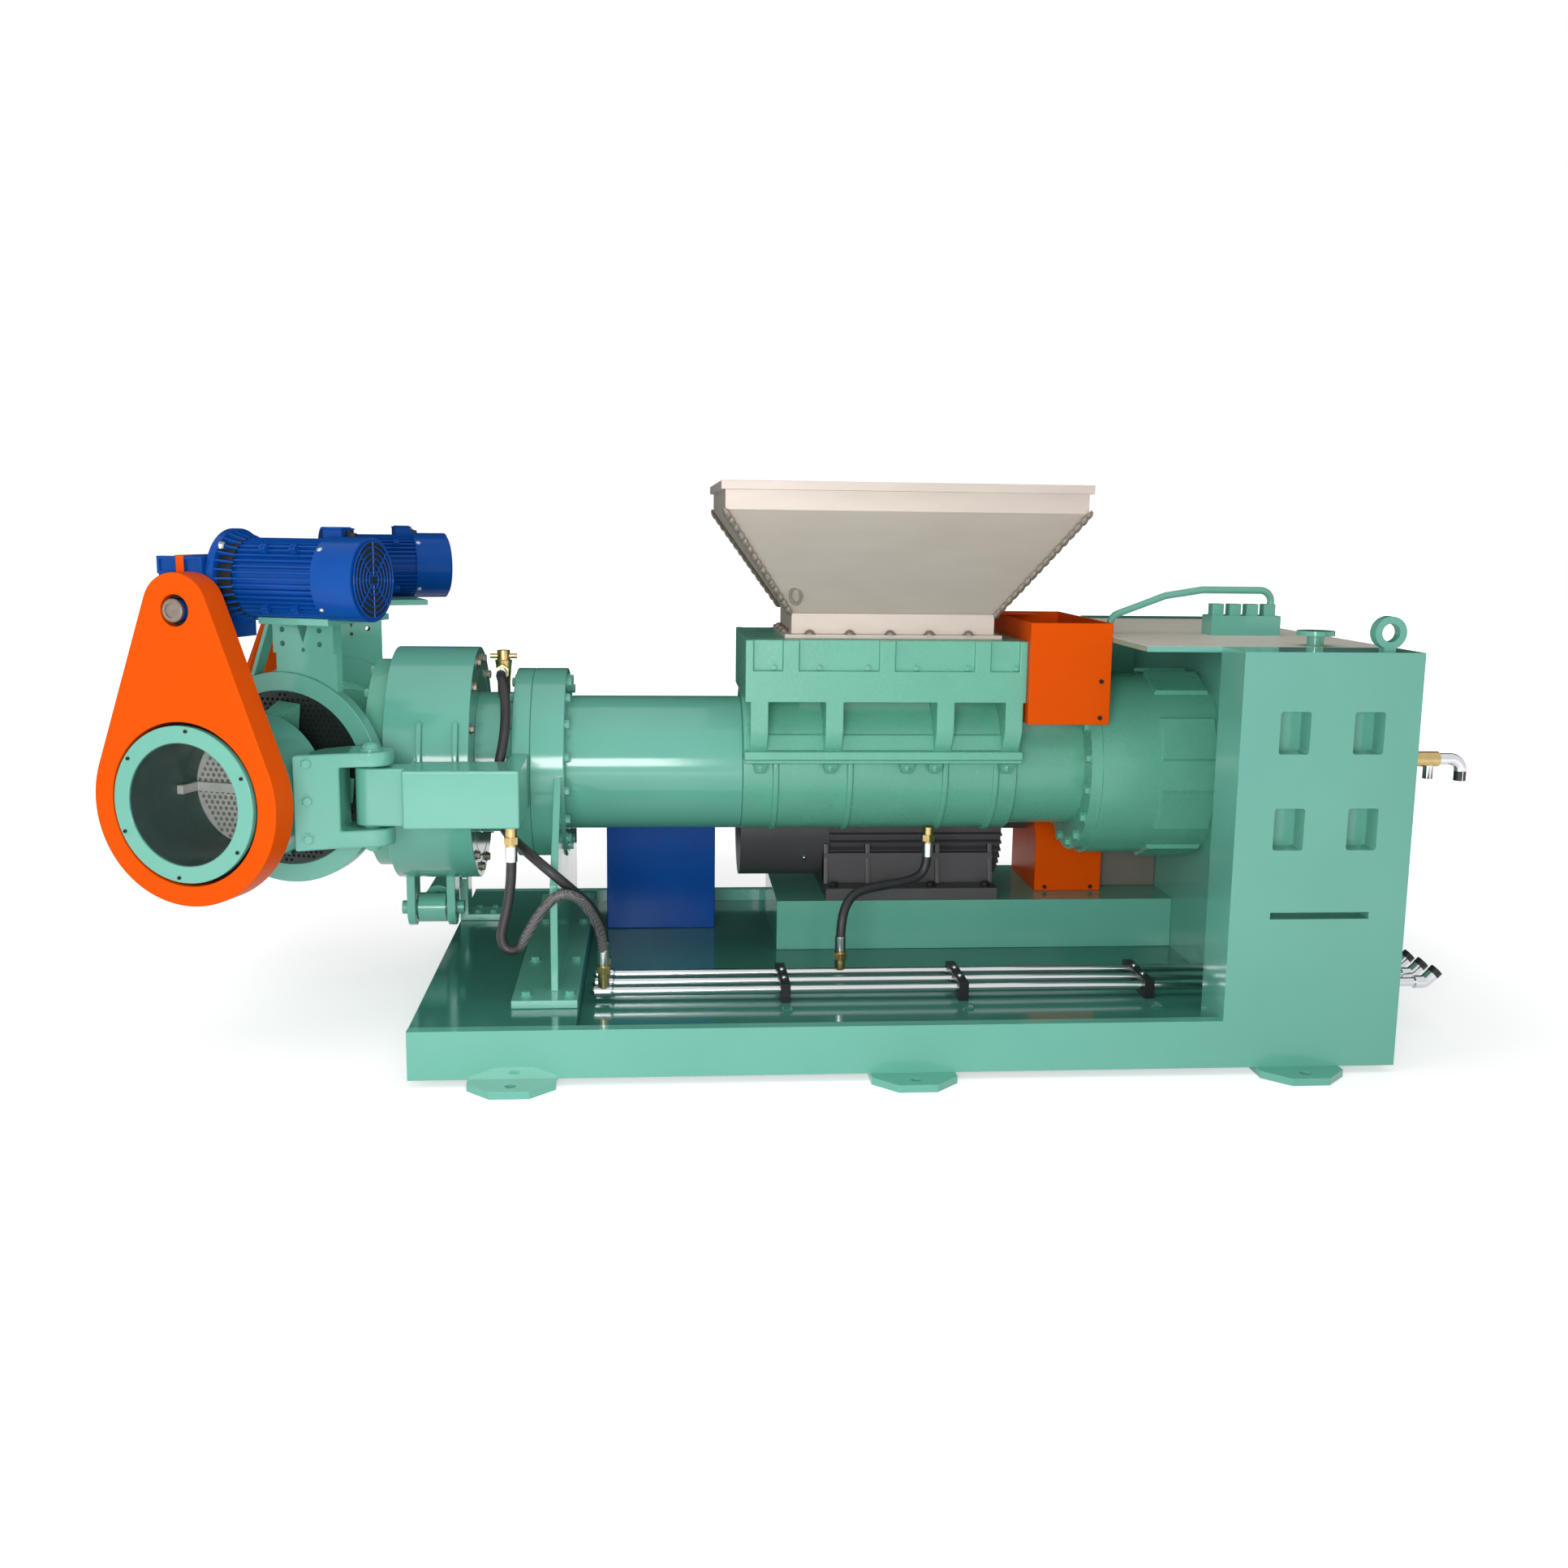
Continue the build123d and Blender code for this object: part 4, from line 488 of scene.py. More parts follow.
def addWasher(radius, thick, height):  # joins the piece that is in edit mode
    bpy.ops.mesh.primitive_cylinder_add(vertices=facets["washer"], radius=radius, depth=thick, location=(0, 0, height))


patterns = {}
for name, settings in heads.items():
    patterns[name] = addRound(1, settings["low"], settings["high"], settings["sides"])
    pickFaces(patterns[name], upward)
    chamfer(settings["rim"], settings["rise"])
    if "core" in settings:
        step(settings["core"][0], (0, 0, settings["core"][1]))
    if "washer" in settings:
        addWasher(*settings["washer"])
    endEdit()
patterns["dome"] = addCap(**dome)
addWasher(*domeWasher)
endEdit()


def circle(radius, count, start=0, z=0):
    turns = [2 * pi * (index + start) / count for index in range(count)]
    return [(radius * sin(turn), radius * cos(turn), z) for turn in turns]


def ringSpots(centre, outward, radius, count):  # a ring of bolts, with none at its top
    across = Vector(upward).cross(Vector(outward))
    return [(Vector(centre) + across * side + Vector(upward) * rise, outward)
            for side, rise, _ in circle(radius, count, 0.5)]


def turnedSpots(frameMatrix, points, outward=upward):  # spots in a branch's or a motor's own frame
    return [(frameMatrix @ metres(point) * 1000, frameMatrix.to_3x3() @ Vector(outward)) for point in points]


sides = (-1, 1)
clevisFace = (0.349, -0.937, 0)
# Where the fasteners stand in mm, their size across a corner in mm, and what they are: green hex bolts on the frame,
# where nothing else is said
fasteners = {
    "barrelFlangeBolts": {"size": 15, "spots": ringSpots((-1006, 0, 784), rightward, 268, 16)},
    "noseFlangeBolts": {"size": 15, "spots": ringSpots((-1165, 0, 784), left, 268, 16)},
    "lockRingBolts": {"size": 13, "finish": "boltSteel", "body": "lock_ring",
                      "spots": ringSpots((-1285, 0, 784), rightward, 336, 14)},
    "headFlangeBolts": {"size": 15, "body": "head", "spots": ringSpots((-1600, 0, 784), left, 306, 14)},
    "gearboxBolts": {"size": 16, "finish": "castGreenEnamel", "spots": ringSpots((640, 0, 784), left, 264, 16)},
    "pedestalBolts": {"size": 14, "spots": [((x, y, 187), upward) for x in (-1104, -977)
                                            for y in (-608, -236, 236, 608)]},
    "collarBolts": {"pattern": "dome", "size": 15, "finish": "boltSteel",
                    "spots": [((x, y, 1218), upward) for x in (-253, -128, -2, 121, 244) for y in (-231, 231)]
                    + [((x, y, 1218), upward) for x in (-320, 338) for y in (-120, 0, 120)]},
    "feedStuds": {"pattern": "stud", "size": 9, "finish": "castGreenEnamel",
                  "spots": [((x, side * 286, 1120), (0, side, 0)) for side in sides
                            for x in (-365, -225, -75, 74, 233, 386)]},
    "splitBolts": {"pattern": "stud", "size": 13, "finish": "castGreenEnamel",
                   "spots": [((x, side * 268, 814), downward) for side in sides for x in (-403, -184, 57, 145, 373)]},
    "clevisBolts": {"size": 14, "body": "head", "spots": [((-1697, -662, z), clevisFace) for z in (665, 773, 879)]},
    "coverScrews": {"pattern": "socket", "size": 7, "finish": "shadowBlack",
                    "spots": [((644, side * 330, z), (0, side, 0)) for side in sides for z in (972, 1085)]},
    "couplingGuardScrews": {"pattern": "socket", "size": 7, "finish": "shadowBlack",
                            "spots": [((x, 230, 304), ahead) for x in (636, 800)]},
    "motorFootBolts": {"size": 15, "finish": "blackPlastic",
                       "spots": [((x, y, 328), upward) for x in (-118, 76, 218, 408) for y in (150, 632)]},
    "fanCoverScrews": {"pattern": "dome", "size": 8, "finish": "turnedSteel",
                       "spots": [((-214, 410 + side * 168, 410), (0, side * 0.82, -0.57)) for side in sides]},
    "clampScrews": {"pattern": "dome", "size": 8, "finish": "turnedSteel",
                    "spots": [((x, y, 178), upward) for x in (-335, 212, 792) for y in (-423, -333)]},
    "bracketBolts": {"size": 11, "spots": [((x, y, 186), upward) for x in (-1352, -1298) for y in (388, 452)]},
    "hingePinCaps": {"pattern": "dome", "size": 27, "body": "head",
                     "spots": [((-1538, -550, 903), upward), ((-1538, -550, 631), downward)]},
}
for hand, name in hands:
    fasteners[name + "RimScrews"] = {"pattern": "socket", "size": 5, "finish": "shadowBlack", "body": name + "_rotor",
                                     "spots": turnedSpots(branchFrame(hand, 831.5), circle(203, 6, 0.1))}
    fasteners[name + "DriveBolts"] = {"size": 12, "finish": "turnedSteel", "body": "head",
                                      "spots": turnedSpots(driveFrame(hand), circle(119, 4, 0.5, 59))}
    fasteners[name + "FanScrews"] = {"pattern": "dome", "size": 6, "finish": "turnedSteel", "body": "head",
                                     "spots": [spot for across in sides for height in sides for spot in
                                               turnedSpots(driveFrame(hand), [(height * 80, across * 80, 354)],
                                                           (height, across, 0))]}
for name, settings in fasteners.items():
    group = spread(patterns[settings.get("pattern", "hex")],
                   [aim(place, outward, mm(settings["size"])) for place, outward in settings["spots"]], keep=True)
    settle(group, name, settings.get("finish", "greenEnamel"), settings.get("body", "frame"))
for pattern in patterns.values():
    bpy.data.objects.remove(pattern)
print("fastener groups:", len(fasteners))


def onBothBranches(kind, settings, toPlace):  # a piece modelled once, with a copy on each branch
    pattern = settings["make"](settings)
    copies = []
    for hand, name in hands:
        body = name + "_rotor" if settings.get("rotor") else "head"
        copies.append(settle(addCopy(name + kind, pattern), name + kind, settings.get("finish", "blueEnamel"), body,
                             toPlace(hand)))
    bpy.data.objects.remove(pattern)
    return copies


def holeCells(outer, inner, pitch):  # staggered rows of holes that stay whole inside a ring
    rows = int(outer / pitch) + 2
    cells = []
    for row in range(-rows, rows + 1):
        for column in range(-rows, rows + 1):
            x = (column + row % 2 / 2) * pitch
            y = row * pitch * 3 ** 0.5 / 2
            if inner + pitch / 2 < (x * x + y * y) ** 0.5 < outer - pitch / 2:
                cells.append((x, y))
    return cells


def modelPerforated(settings):
    thick = mm(settings["thick"])
    plate = addRound(mm(settings["outer"]), 0, thick, sides=facets["wide"])
    if settings["inner"]:
        carve(plate, addRound(mm(settings["inner"]), -thick, 2 * thick, sides=facets["wide"]))
    drill = addRound(mm(settings["hole"] / 2), mm(settings["floor"]), 2 * thick, sides=facets["drill"])
    cells = holeCells(settings["outer"], settings["inner"], settings["pitch"])
    carve(plate, spread(drill, [Matrix.Translation((mm(x), mm(y), 0)) for x, y in cells]))
    return plate


# Die plates with their rows of holes, and the dark drilled rings in the flanges behind them. The floors of the holes
# are painted black as shade, and are found by their depth in metres.
perforated = {
    "DiePlate": {"make": modelPerforated, "outer": 168.5, "inner": 0, "thick": 24, "floor": 6, "hole": 11.5,
                 "pitch": 18.5, "at": 510, "finish": "plateSteel"},
    "DrillRing": {"make": modelPerforated, "outer": 260, "inner": 122, "thick": 5, "floor": 1, "hole": 10,
                  "pitch": 17, "at": 336, "finish": "drilledSteel"},
}
floorSlack = 0.0005
for kind, settings in perforated.items():
    plates = onBothBranches(kind, settings, lambda hand: branchFrame(hand, settings["at"]))
    for (hand, name), plate in zip(hands, plates):
        toPlate = branchFrame(hand, settings["at"]).inverted()
        paintFaces(plate, "shadowBlack",
                   lambda face: abs((toPlate @ face.center).z - mm(settings["floor"])) < floorSlack)
        if kind == "DiePlate":
            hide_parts("die_plates")
print("perforated plates drilled")


# Pieces of each branch, modelled once at the outlet's own frame: across, up and out
def modelTube(settings):  # an open tube with a wall that grows inwards
    tube = addRound(mm(settings["radius"]), mm(settings["low"]), mm(settings["high"]), facets["wide"], "NOTHING")
    applyModifier(tube, "SOLIDIFY", {"thickness": mm(settings["wall"]), "offset": -1})
    softenEdges(tube, settings["edge"])
    return tube


def modelKnife(settings):
    length, width = settings["length"] / 2, settings["width"] / 2
    knife = addBlock((-length, -width, 0), (length, width, settings["thick"]))
    taper(knife, downward, (1, settings["edgeShare"], 1))
    softenEdges(knife, settings["edge"])
    return knife


def modelShaftEnd(settings):
    slope, rim = mm(settings["chamfer"]), mm(settings["rim"])
    end = addRound(mm(settings["radius"]), 0, mm(settings["length"]))
    pickFaces(end, upward)
    chamfer(slope, slope)
    step(rim, (0, 0, -slope))
    step(rim, (0, 0, -mm(settings["drill"])))
    bpy.ops.transform.resize(value=(settings["point"], settings["point"], 1))
    endEdit()
    return end


def modelGuide(settings):  # a sloped cast block between the flange and the bearing housing
    guide = addBlock(settings["low"], settings["high"])
    pickFaces(guide, upward)
    bpy.ops.transform.resize(value=(settings["taper"], settings["taper"], 1))
    bpy.ops.transform.translate(value=(0, -mm(settings["lean"]), 0))
    endEdit()
    softenEdges(guide, settings["edge"])
    return polar(guide, settings["count"], settings["start"])


# Lengths in mm; low and high run along the branch from its centre
branchPieces = {
    "BoreLiner": {"make": modelTube, "radius": 168.6, "low": 602, "high": 826, "wall": 1.6, "edge": 0.4,
                  "finish": "oiledSteel", "rotor": True},
    "ThroatLiner": {"make": modelTube, "radius": 168.6, "low": 535, "high": 599, "wall": 1.6, "edge": 0.4,
                    "finish": "oiledSteel"},
    # painted shade: a black ring in the gap round the rotor rim
    "GapShadeRing": {"make": modelTube, "radius": 224.5, "low": 747, "high": 753, "wall": 32, "edge": 0.4,
                "finish": "shadowBlack"},
    "Knife": {"make": modelKnife, "length": 330, "width": 27, "thick": 18, "edgeShare": 0.5, "edge": 0.8, "at": 539,
              "finish": "plateSteel", "rotor": True},
    "ShaftEnd": {"make": modelShaftEnd, "radius": 31, "length": 8, "chamfer": 3, "rim": 8, "drill": 2, "point": 0.2,
                 "at": 824, "up": 523, "finish": "boltSteel"},
    # painted shade: a black ring in the hole round the shaft end, in place of a seal
    "ShaftHoleShade": {"make": modelTube, "radius": 41.5, "low": 743, "high": 800, "wall": 10, "edge": 0.4, "up": 523,
                  "finish": "shadowBlack"},
    "Guides": {"make": modelGuide, "low": (-38, 150, 345), "high": (38, 232, 468), "taper": 0.7, "lean": 26,
               "edge": 4, "count": 4, "start": -0.07, "finish": "castGreenEnamel"},
}
for kind, settings in branchPieces.items():
    lift = Matrix.Translation((0, mm(settings.get("up", 0)), 0))
    onBothBranches(kind, settings, lambda hand: branchFrame(hand, settings.get("at", 0)) @ lift)
# The knife bars across the rotors are bare steel, and reach this far from the axis in metres
knifeReach = 0.164
for hand, name in hands:
    toBranch = branchFrame(hand).inverted()
    paintFaces(nodes[name + "_rotor"], "plateSteel", lambda face: (toBranch @ face.center).xy.length < knifeReach)
print("branch pieces:", len(branchPieces))


# Pieces of each drive motor, modelled once at the motor's own frame: up, across and along
def modelRibs(settings):  # thin webs between the flange and the body, with dark gaps between them
    inner, high, half = settings["inner"], settings["high"], settings["half"]
    rib = addBlock((inner, -half, settings["low"]), (settings["outer"], half, high))
    taper(rib, upward, (settings["top"], 1, 1), center_override=metres((inner, 0, high)))
    return polar(rib, settings["count"])


def modelGrille(settings):  # a fan cover's end: rings of wire on spokes
    rings = [addTorus(radius, settings["wire"], facets["plain"], facets["wire"]) for radius in settings["rings"]]
    spoke = addRound(mm(settings["wire"]), mm(settings["hub"]), mm(settings["rings"][-1]), sides=facets["wire"])
    spoke.data.transform(Matrix.Rotation(pi / 2, 4, "Y"))
    rings.append(polar(spoke, settings["spokes"]))
    choose(*rings)
    bpy.ops.object.join()
    grille = bpy.context.object
    grille.data.transform(Matrix.Translation((0, 0, mm(settings["low"]))))
    return grille


def modelHub(settings):  # a near-black disc behind the grille, painted shade for the hollow of the fan cover
    hub = addRound(mm(settings["radius"]), mm(settings["low"]), mm(settings["high"]), sides=facets["middle"])
    pickFaces(hub, upward)
    step(mm(settings["rim"]), (0, 0, -mm(settings["sink"])))
    endEdit()
    return hub


def modelLugs(settings):  # cast pads on the side of the body
    rim = settings["rim"]
    lug = addBlock(settings["low"], settings["high"])
    pickFaces(lug, backward)
    step(mm(rim), (0, -mm(rim), 0))
    endEdit()
    softenEdges(lug, settings["edge"])
    places = []
    for along in settings["along"]:
        for degrees in settings["degrees"]:
            places.append(Matrix.Rotation(radians(degrees), 4, "Z") @ Matrix.Translation((0, 0, mm(along))))
    return spread(lug, places)


def modelBoxLid(settings):
    lid = addBlock(settings["low"], settings["high"])
    pickFaces(lid, rightward)
    step(mm(settings["rim"]), (mm(settings["rise"]), 0, 0))
    endEdit()
    softenEdges(lid, settings["edge"])
    return lid


def modelGland(settings):  # a cable gland: a six-sided nut with a domed cap
    gland = addRound(mm(settings["radius"]), 0, mm(settings["nut"]), sides=facets["hex"])
    pickFaces(gland, upward)
    step(mm(settings["step"]), (0, 0, mm(settings["cap"])))
    bpy.ops.transform.resize(value=(settings["capShare"], settings["capShare"], 1))
    endEdit()
    softenEdges(gland, settings["edge"])
    gland.data.transform(Matrix.Translation(metres(settings["place"])))
    return gland


def modelGearFrame(settings):  # a cast frame with two pockets in its face
    frameBlock = addBlock(settings["low"], settings["high"])
    editAll()
    middle = mm(settings["low"][2] + settings["high"][2]) / 2
    bpy.ops.mesh.bisect(plane_co=(0, 0, middle), plane_no=upward)
    endEdit()
    pickFaces(frameBlock, backward)
    bpy.ops.mesh.inset(thickness=mm(settings["rim"]), use_individual=True)
    bpy.ops.mesh.extrude_region_move(TRANSFORM_OT_translate={"value": (0, -mm(settings["sink"]), 0)})
    endEdit()
    softenEdges(frameBlock, settings["edge"])
    return frameBlock


def modelStrap(settings):  # a bent strip from the guard's back over the gear case
    strap = addBlock(settings["low"], settings["high"])
    pickFaces(strap, left, ahead, upward, downward)
    bpy.ops.mesh.delete(type="FACE")
    endEdit()
    applyModifier(strap, "SOLIDIFY", {"thickness": mm(settings["thick"]), "offset": -1})
    softenEdges(strap, settings["edge"])
    return strap


# Blue, where nothing else is said
drivePieces = {
    "FlangeRibs": {"make": modelRibs, "inner": 104, "outer": 129, "low": 58, "high": 104, "half": 2.5, "top": 0.3,
                   "count": 32},
    "RibShadow": {"make": modelTube, "radius": 111, "low": 59, "high": 100, "wall": 4, "edge": 0.4,
                  "finish": "shadowBlack"},
    # painted shade: a near-black disc in the fan cover's mouth
    "FanMouthShade": {"make": modelHub, "radius": 101, "low": 458, "high": 464.5, "rim": 6, "sink": 1,
                 "finish": "shadowBlack"},
    "FanGrille": {"make": modelGrille, "rings": (24, 40, 56, 72, 88, 102), "hub": 12, "wire": 2.2, "spokes": 8,
                  "low": 466},
    "BodyLugs": {"make": modelLugs, "low": (-10, 96, -9), "high": (10, 122, 9), "rim": 4, "edge": 1,
                 "along": (185, 276), "degrees": (45, -45, 135, -135)},
    "BoxLid": {"make": modelBoxLid, "low": (132, -101, 294), "high": (136, -31, 354), "rim": 7, "rise": 3, "edge": 1.5},
    "BoxGland": {"make": modelGland, "radius": 17, "nut": 12, "step": 4, "cap": 14, "capShare": 0.8, "edge": 1,
                 "place": (114, -66, 352), "finish": "blackPlastic"},
    "GearLid": {"make": modelBoxLid, "low": (52, -88, -98), "high": (56, 112, 28), "rim": 16, "rise": 3, "edge": 1.5},
    "GearFrame": {"make": modelGearFrame, "low": (10, 118, -105), "high": (57, 143, 35), "rim": 8, "sink": 6.5,
                  "edge": 1},
    "GuardStrap": {"make": modelStrap, "low": (12, 104, -42), "high": (60, 146.5, -18), "thick": 3, "edge": 0.6,
                   "finish": "orangeEnamel", "slot": "cover_orange"},
}
for kind, settings in drivePieces.items():
    onBothBranches(kind, settings, driveFrame)
print("drive pieces:", len(drivePieces))


# Cast blocks that narrow to one side: webs on the main motor's foot, lugs under the feed box's split, and ledges along
# its casing
def alongMachine(places, turns=(0,)):
    return [Matrix.Translation((mm(x), 0, 0)) @ Matrix.Rotation(turn, 4, "Z") for x in places for turn in turns]


castBlocks = {
    "motorWebs": {"low": (0, 186, 326), "high": (17, 240, 466), "way": upward, "share": (1, 0.6, 1),
                  "about": (0, 240, 466), "edge": 3, "places": alongMachine((-150, -5, 239, 423)),
                  "finish": "greyEnamel", "slot": "motor_grey"},
    "splitLugs": {"low": (-24, -283, 786), "high": (24, -240, 820), "way": downward, "share": (0.7, 0.5, 1),
                  "about": (0, -240, 786), "edge": 5, "places": alongMachine((-403, -184, 57, 145, 373), (0, pi)),
                  "finish": "castGreenEnamel", "slot": "machine_green"},
    "casingLedges": {"low": (-444, -259, 857), "high": (409, -226, 907), "way": upward, "share": (1, 0.4, 1),
                     "about": (0, -226, 907), "edge": 20, "segments": 4,
                     "places": [Matrix.Identity(4), Matrix.Diagonal((1, -1, 1, 1))],
                     "finish": "castGreenEnamel", "slot": "machine_green"},
}
for name, settings in castBlocks.items():
    block = addBlock(settings["low"], settings["high"])
    taper(block, settings["way"], settings["share"], center_override=metres(settings["about"]))
    softenEdges(block, settings["edge"], settings.get("segments", 2))
    group = spread(block, settings["places"])
    editAll()
    bpy.ops.mesh.normals_make_consistent(inside=False)  # one ledge is a mirror image
    endEdit()
    settle(group, name, settings["finish"], "frame")
print("motor foot, split lugs and casing ledges done")

# Weld beads down the hopper's corners, dulled by the heat
hopper = {"foot": (642, 446, 1282), "top": (1076, 942, 1593), "centre": 9, "pitch": 8, "outward": -0.6, "smooth": 60}
bead = {"segments": 10, "rings": 6, "cut": -0.2, "stretch": (1, 1.2, 0.6)}
beadSize = {"radius": 11, "sway": 0.25, "swayStep": 1.7}
beadPattern = addCap(**bead)
endEdit()
beads = []
for sideX in sides:
    for sideY in sides:
        low, high = (Vector((hopper["centre"] + sideX * length / 2, sideY * width / 2, height))
                     for length, width, height in (hopper["foot"], hopper["top"]))
        count = int((high - low).length / hopper["pitch"])
        for index in range(count):
            size = beadSize["radius"] * (1 + beadSize["sway"] * sin(index * beadSize["swayStep"] + sideX))
            beads.append(aim(low.lerp(high, (index + 0.5) / count), (sideX, sideY, hopper["outward"]), mm(size)))
settle(spread(beadPattern, beads), "hopperWelds", "weldScale", "frame", smooth=hopper["smooth"])

# Lifting ring at the hopper's lower front corner
ring = {"place": (-302, -280, 1337), "outward": (0.3, -1, 0.1), "radius": 22, "wire": 5, "stretch": (0.8, 1.1, 1)}
hook = addTorus(ring["radius"], ring["wire"], facets["slim"], facets["hook"])
editAll()
bpy.ops.transform.resize(value=ring["stretch"])
endEdit()
settle(hook, "hopperRing", "weldScale", "frame", aim(ring["place"], ring["outward"]))
print("hopper dressed:", len(beads), "beads")

# Hose ends: a steel sleeve on the hose and a six-sided brass nut behind it
sleeve = {"radius": 17.5, "length": 46, "edge": 1.2, "nutRadius": 23, "nut": 22, "behind": 28}
sleevePattern = addRound(mm(sleeve["radius"]), 0, mm(sleeve["length"]), sides=facets["slim"])
nutPattern = addRound(mm(sleeve["nutRadius"]), -mm(sleeve["behind"]), mm(sleeve["nut"] - sleeve["behind"]),
                      sides=facets["hex"])
softenEdges(sleevePattern, sleeve["edge"])
softenEdges(nutPattern, sleeve["edge"])
hoseEnds = []
for settings in hoses.values():
    route = [Vector(point) for point in settings["route"]]
    hoseEnds.append(aim(route[0], route[1] - route[0]))
    hoseEnds.append(aim(route[-1], route[-2] - route[-1]))
settle(spread(sleevePattern, hoseEnds), "hoseSleeves", "brightPipe", "frame")
settle(spread(nutPattern, hoseEnds), "hoseNuts", "brassFitting", "frame")

# Turned valve on the barrel nose: profile of radius and height in mm, spun about its stem
valve = {"place": (-1205, -60, 0), "steps": 32, "seam": 0.00005,
         "profile": [(0, 1008), (15, 1008), (15, 1030), (19, 1040), (25, 1104), (27, 1118), (11, 1122), (11, 1138),
                     (7, 1146), (0, 1146)]}
valveMesh = bpy.data.meshes.new("noseValve")
valveMesh.from_pydata([(mm(radius), 0, mm(height)) for radius, height in valve["profile"]],
                      [(index, index + 1) for index in range(len(valve["profile"]) - 1)], [])
spindle = bpy.data.objects.new("noseValve", valveMesh)
bpy.context.scene.collection.objects.link(spindle)
choose(spindle)
editAll()
bpy.ops.mesh.spin(steps=valve["steps"], angle=2 * pi, center=(0, 0, 0), axis=upward)
bpy.ops.mesh.select_all(action="SELECT")
bpy.ops.mesh.remove_doubles(threshold=valve["seam"])
bpy.ops.mesh.normals_make_consistent(inside=False)
endEdit()
settle(spindle, "noseValve", "brassFitting", "frame", Matrix.Translation(metres(valve["place"])))

# Rounded elbows where the hoses join the pipes, and black plugs in the pipes' far ends
pipeRows = (-468, -378, -288)
elbow = {"radius": 18, "low": -921, "high": -852, "edge": 11, "segments": 4, "z": 155}
elbowPattern = addRound(mm(elbow["radius"]), 0, mm(elbow["high"] - elbow["low"]), sides=facets["slim"])
softenEdges(elbowPattern, elbow["edge"], elbow["segments"])
settle(spread(elbowPattern, [aim((elbow["low"], y, elbow["z"]), rightward) for y in pipeRows]), "pipeElbows",
       "brightPipe", "frame")
plug = {"radius": 21, "length": 20, "x": 1718, "z": 187, "outward": (1, 0, 1), "rim": 5}
plugPattern = addRound(mm(plug["radius"]), -mm(plug["length"] / 2), mm(plug["length"] / 2), sides=facets["slim"])
pickFaces(plugPattern, upward)
step(mm(plug["rim"]), (0, 0, -mm(plug["rim"])))
endEdit()
settle(spread(plugPattern, [aim((plug["x"], y, plug["z"]), plug["outward"]) for y in pipeRows]), "pipePlugs",
       "blackPlastic", "frame")

# Feet of the pipe clamps on the tray
clampFoot = {"length": 30, "width": 44, "height": 7, "x": (-335, 212, 792), "front": -540, "z": 120, "edge": 1.5}
half = clampFoot["length"] / 2
footPattern = addBlock((-half, 0, 0), (half, clampFoot["width"], clampFoot["height"]))
softenEdges(footPattern, clampFoot["edge"])
feet = spread(footPattern, [aim((x, clampFoot["front"], clampFoot["z"]), upward) for x in clampFoot["x"]])
# the clamp feet take the deck green darkened as painted shade
settle(feet, "clampFeet", "shadedGreenEnamel", "frame")
print("pipe fittings done")

# Camera at the photograph's place, turned as it was held
camera = {"place": (-0.7245, -5.034, 1.555), "ahead": (0.0815, 0.9829, -0.165), "roll": 0.0128, "lens": 35.8,
          "sensor": 36}
sight = Vector(camera["ahead"]).normalized()
right = sight.cross(Vector(upward)).normalized()
up = right.cross(sight)
right, up = right + camera["roll"] * up, up - camera["roll"] * right
lensData = bpy.data.cameras.new("camera")
lensData.lens = camera["lens"]
lensData.sensor_width = camera["sensor"]
viewer = bpy.data.objects.new("camera", lensData)
bpy.context.scene.collection.objects.link(viewer)
viewer.matrix_world = Matrix.Translation(camera["place"]) @ Matrix((right, up, -sight)).transposed().to_4x4()
bpy.context.scene.camera = viewer

# Plain pale floor that fades to white away from the machine and keeps its shadow near it
studio = {"floor": "#F2F2F2", "floorSize": 60, "floorRough": 0.8, "near": 1.6, "far": 4.2, "glow": 0.5,
          "white": "#FFFFFF", "ahead": 0.24, "behind": 0.44, "zenith": 0.8, "zenithShare": 1.1}
bpy.ops.object.select_all(action="DESELECT")
bpy.ops.mesh.primitive_plane_add(size=studio["floorSize"], location=(0, 0, 0))
floor = bpy.context.object
floor.name = "floor"
tree, shader, place = startMaterial("paleFloor")
shader.inputs["Base Color"].default_value = fromHex(studio["floor"])
shader.inputs["Roughness"].default_value = studio["floorRough"]
reach = addNode(tree, "ShaderNodeVectorMath", {"operation": "LENGTH"}, [(0, place)])
fade = addNode(tree, "ShaderNodeMapRange", {"From Min": studio["near"], "From Max": studio["far"],
                                            "To Min": studio["glow"], "To Max": 1, "interpolation_type": "SMOOTHSTEP"},
               [("Value", reach.outputs["Value"])])
rays = addNode(tree, "ShaderNodeLightPath", {})
shown = addNode(tree, "ShaderNodeMath", {"operation": "MAXIMUM"},
                [(0, rays.outputs["Is Camera Ray"]), (1, rays.outputs["Is Glossy Ray"])])
glow = addNode(tree, "ShaderNodeMath", {"operation": "MULTIPLY"}, [(0, shown.outputs[0]), (1, fade.outputs["Result"])])
white = addNode(tree, "ShaderNodeEmission", {"Color": fromHex(studio["white"])}, [("Strength", glow.outputs[0])])
both = addNode(tree, "ShaderNodeAddShader", {}, [(0, shader.outputs[0]), (1, white.outputs[0])])
tree.links.new(both.outputs[0], tree.nodes["Material Output"].inputs["Surface"])
floor.data.materials.append(materials["paleFloor"])

# A black screen behind the machine that only the gloss sees, so that edges seen at a slant keep their colour
screen = {"place": (0.2, 2.4, 3.02), "wide": 14, "high": 6, "colour": "#101312", "rough": 0.9}
bpy.ops.object.select_all(action="DESELECT")
bpy.ops.mesh.primitive_plane_add(size=1)
blind = bpy.context.object
blind.name = "screen"
blind.data.transform(Matrix.Translation(screen["place"]) @ Matrix.Rotation(pi / 2, 4, "X")
                     @ Matrix.Diagonal((screen["wide"], screen["high"], 1, 1)))
tree, shader, place = startMaterial("screenCloth")
shader.inputs["Base Color"].default_value = fromHex(screen["colour"])
shader.inputs["Roughness"].default_value = screen["rough"]
blind.data.materials.append(materials["screenCloth"])
blind.visible_camera = blind.visible_diffuse = blind.visible_shadow = blind.visible_transmission = False

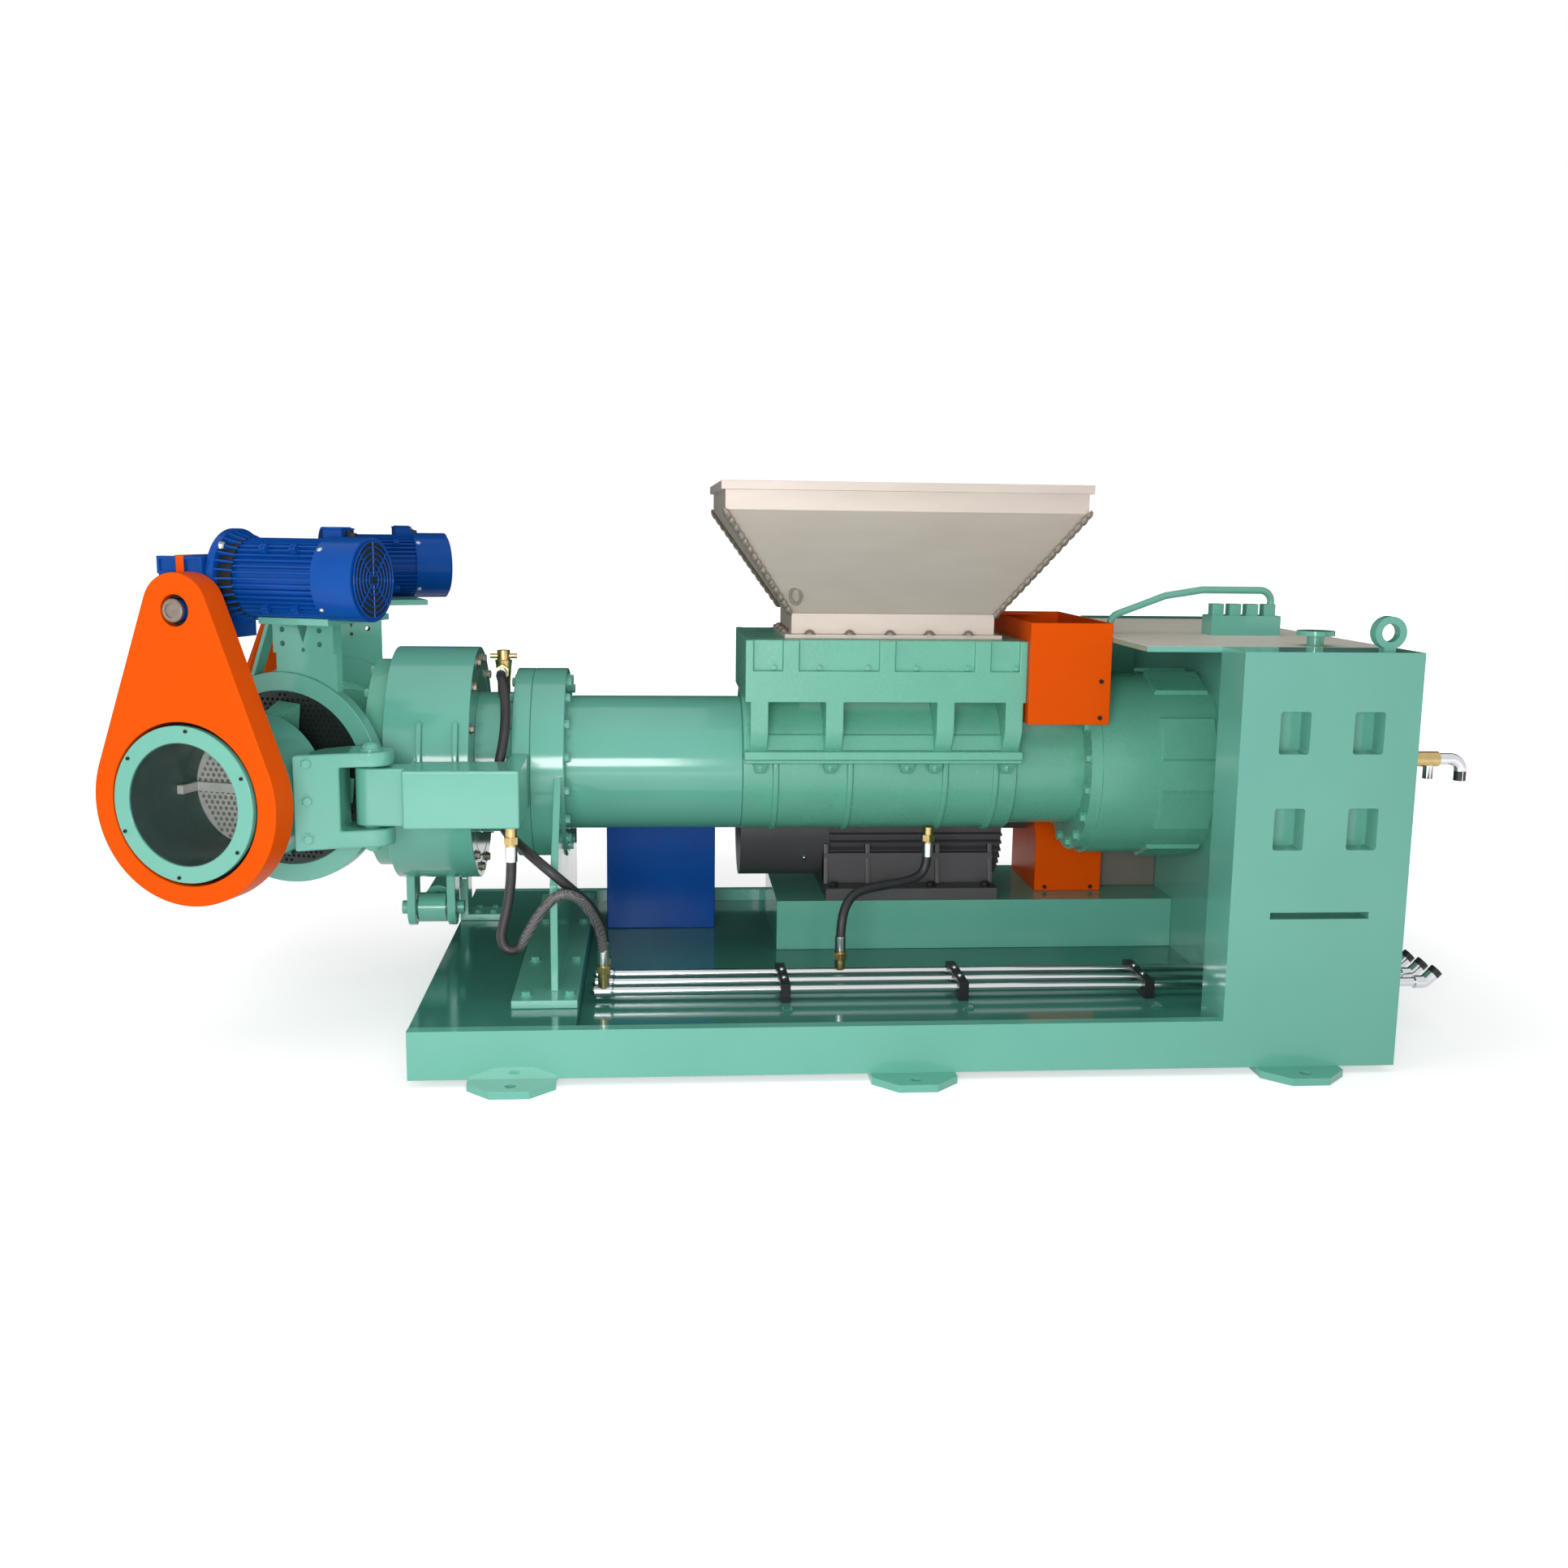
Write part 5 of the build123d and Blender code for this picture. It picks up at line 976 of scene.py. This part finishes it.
# A white room to the eye and in the gloss; on the machine its light is weaker from the front, where the lamps are
world = bpy.data.worlds.new("studio")
world.use_nodes = True
bpy.context.scene.world = world
tree = world.node_tree
tree.nodes.clear()
rays = addNode(tree, "ShaderNodeLightPath", {})
shown = rays.outputs["Is Camera Ray"]
for kind in ("Is Glossy Ray", "Is Transmission Ray"):
    shown = addNode(tree, "ShaderNodeMath", {"operation": "MAXIMUM"}, [(0, shown), (1, rays.outputs[kind])]).outputs[0]
direction = addNode(tree, "ShaderNodeTexCoord", {}).outputs["Generated"]
axes = addNode(tree, "ShaderNodeSeparateXYZ", {}, [(0, direction)])
level = addNode(tree, "ShaderNodeMapRange", {"From Min": -1, "From Max": 1, "To Min": studio["ahead"],
                                             "To Max": studio["behind"]}, [("Value", axes.outputs["Y"])])
drop = addNode(tree, "ShaderNodeMapRange", {"From Min": 0, "From Max": studio["zenith"], "To Min": 1,
                                            "To Max": studio["zenithShare"]}, [("Value", axes.outputs["Z"])])
strength = addNode(tree, "ShaderNodeMath", {"operation": "MULTIPLY"},
                   [(0, level.outputs["Result"]), (1, drop.outputs["Result"])])
sky = addNode(tree, "ShaderNodeBackground", {"Color": fromHex(studio["white"])}, [("Strength", strength.outputs[0])])
white = addNode(tree, "ShaderNodeBackground", {"Color": fromHex(studio["white"]), "Strength": 1})
both = addNode(tree, "ShaderNodeMixShader", {}, [(0, shown), (1, sky.outputs[0]), (2, white.outputs[0])])
addNode(tree, "ShaderNodeOutputWorld", {}, [("Surface", both.outputs[0])])

# A window behind the camera draws the band of light along the barrel, and soft boxes that the gloss does not see
# fill the hollows
lamps = {
    "window": {"place": (-1.5, -5.6, 1.5), "target": (-3.2, 0, 0.9), "size": (2, 1.2), "watts": 120},
    "frontFill": {"place": (-0.5, -5.2, 1), "target": (-0.3, 0, 0.7), "size": (2.4, 1.6), "watts": 46},
    "overhead": {"place": (-0.4, -1.6, 4.8), "target": (-0.2, 0, 0.8), "size": (4.5, 2.4), "watts": 45},
    "sideFill": {"place": (-4.8, -3.0, 2.2), "target": (-1, 0, 0.8), "size": (2.5, 2.5), "watts": 32},
}
for name, settings in lamps.items():
    lampData = bpy.data.lights.new(name, "AREA")
    lampData.shape = "RECTANGLE"
    lampData.size, lampData.size_y = settings["size"]
    lampData.energy = settings["watts"]
    lamp = bpy.data.objects.new(name, lampData)
    bpy.context.scene.collection.objects.link(lamp)
    lamp.location = settings["place"]
    lamp.visible_glossy = name == "window"
    lamp.rotation_euler = (Vector(settings["target"]) - Vector(settings["place"])).to_track_quat("-Z", "Y").to_euler()
bpy.context.scene.view_settings.view_transform = "Standard"
print("camera and studio ready")
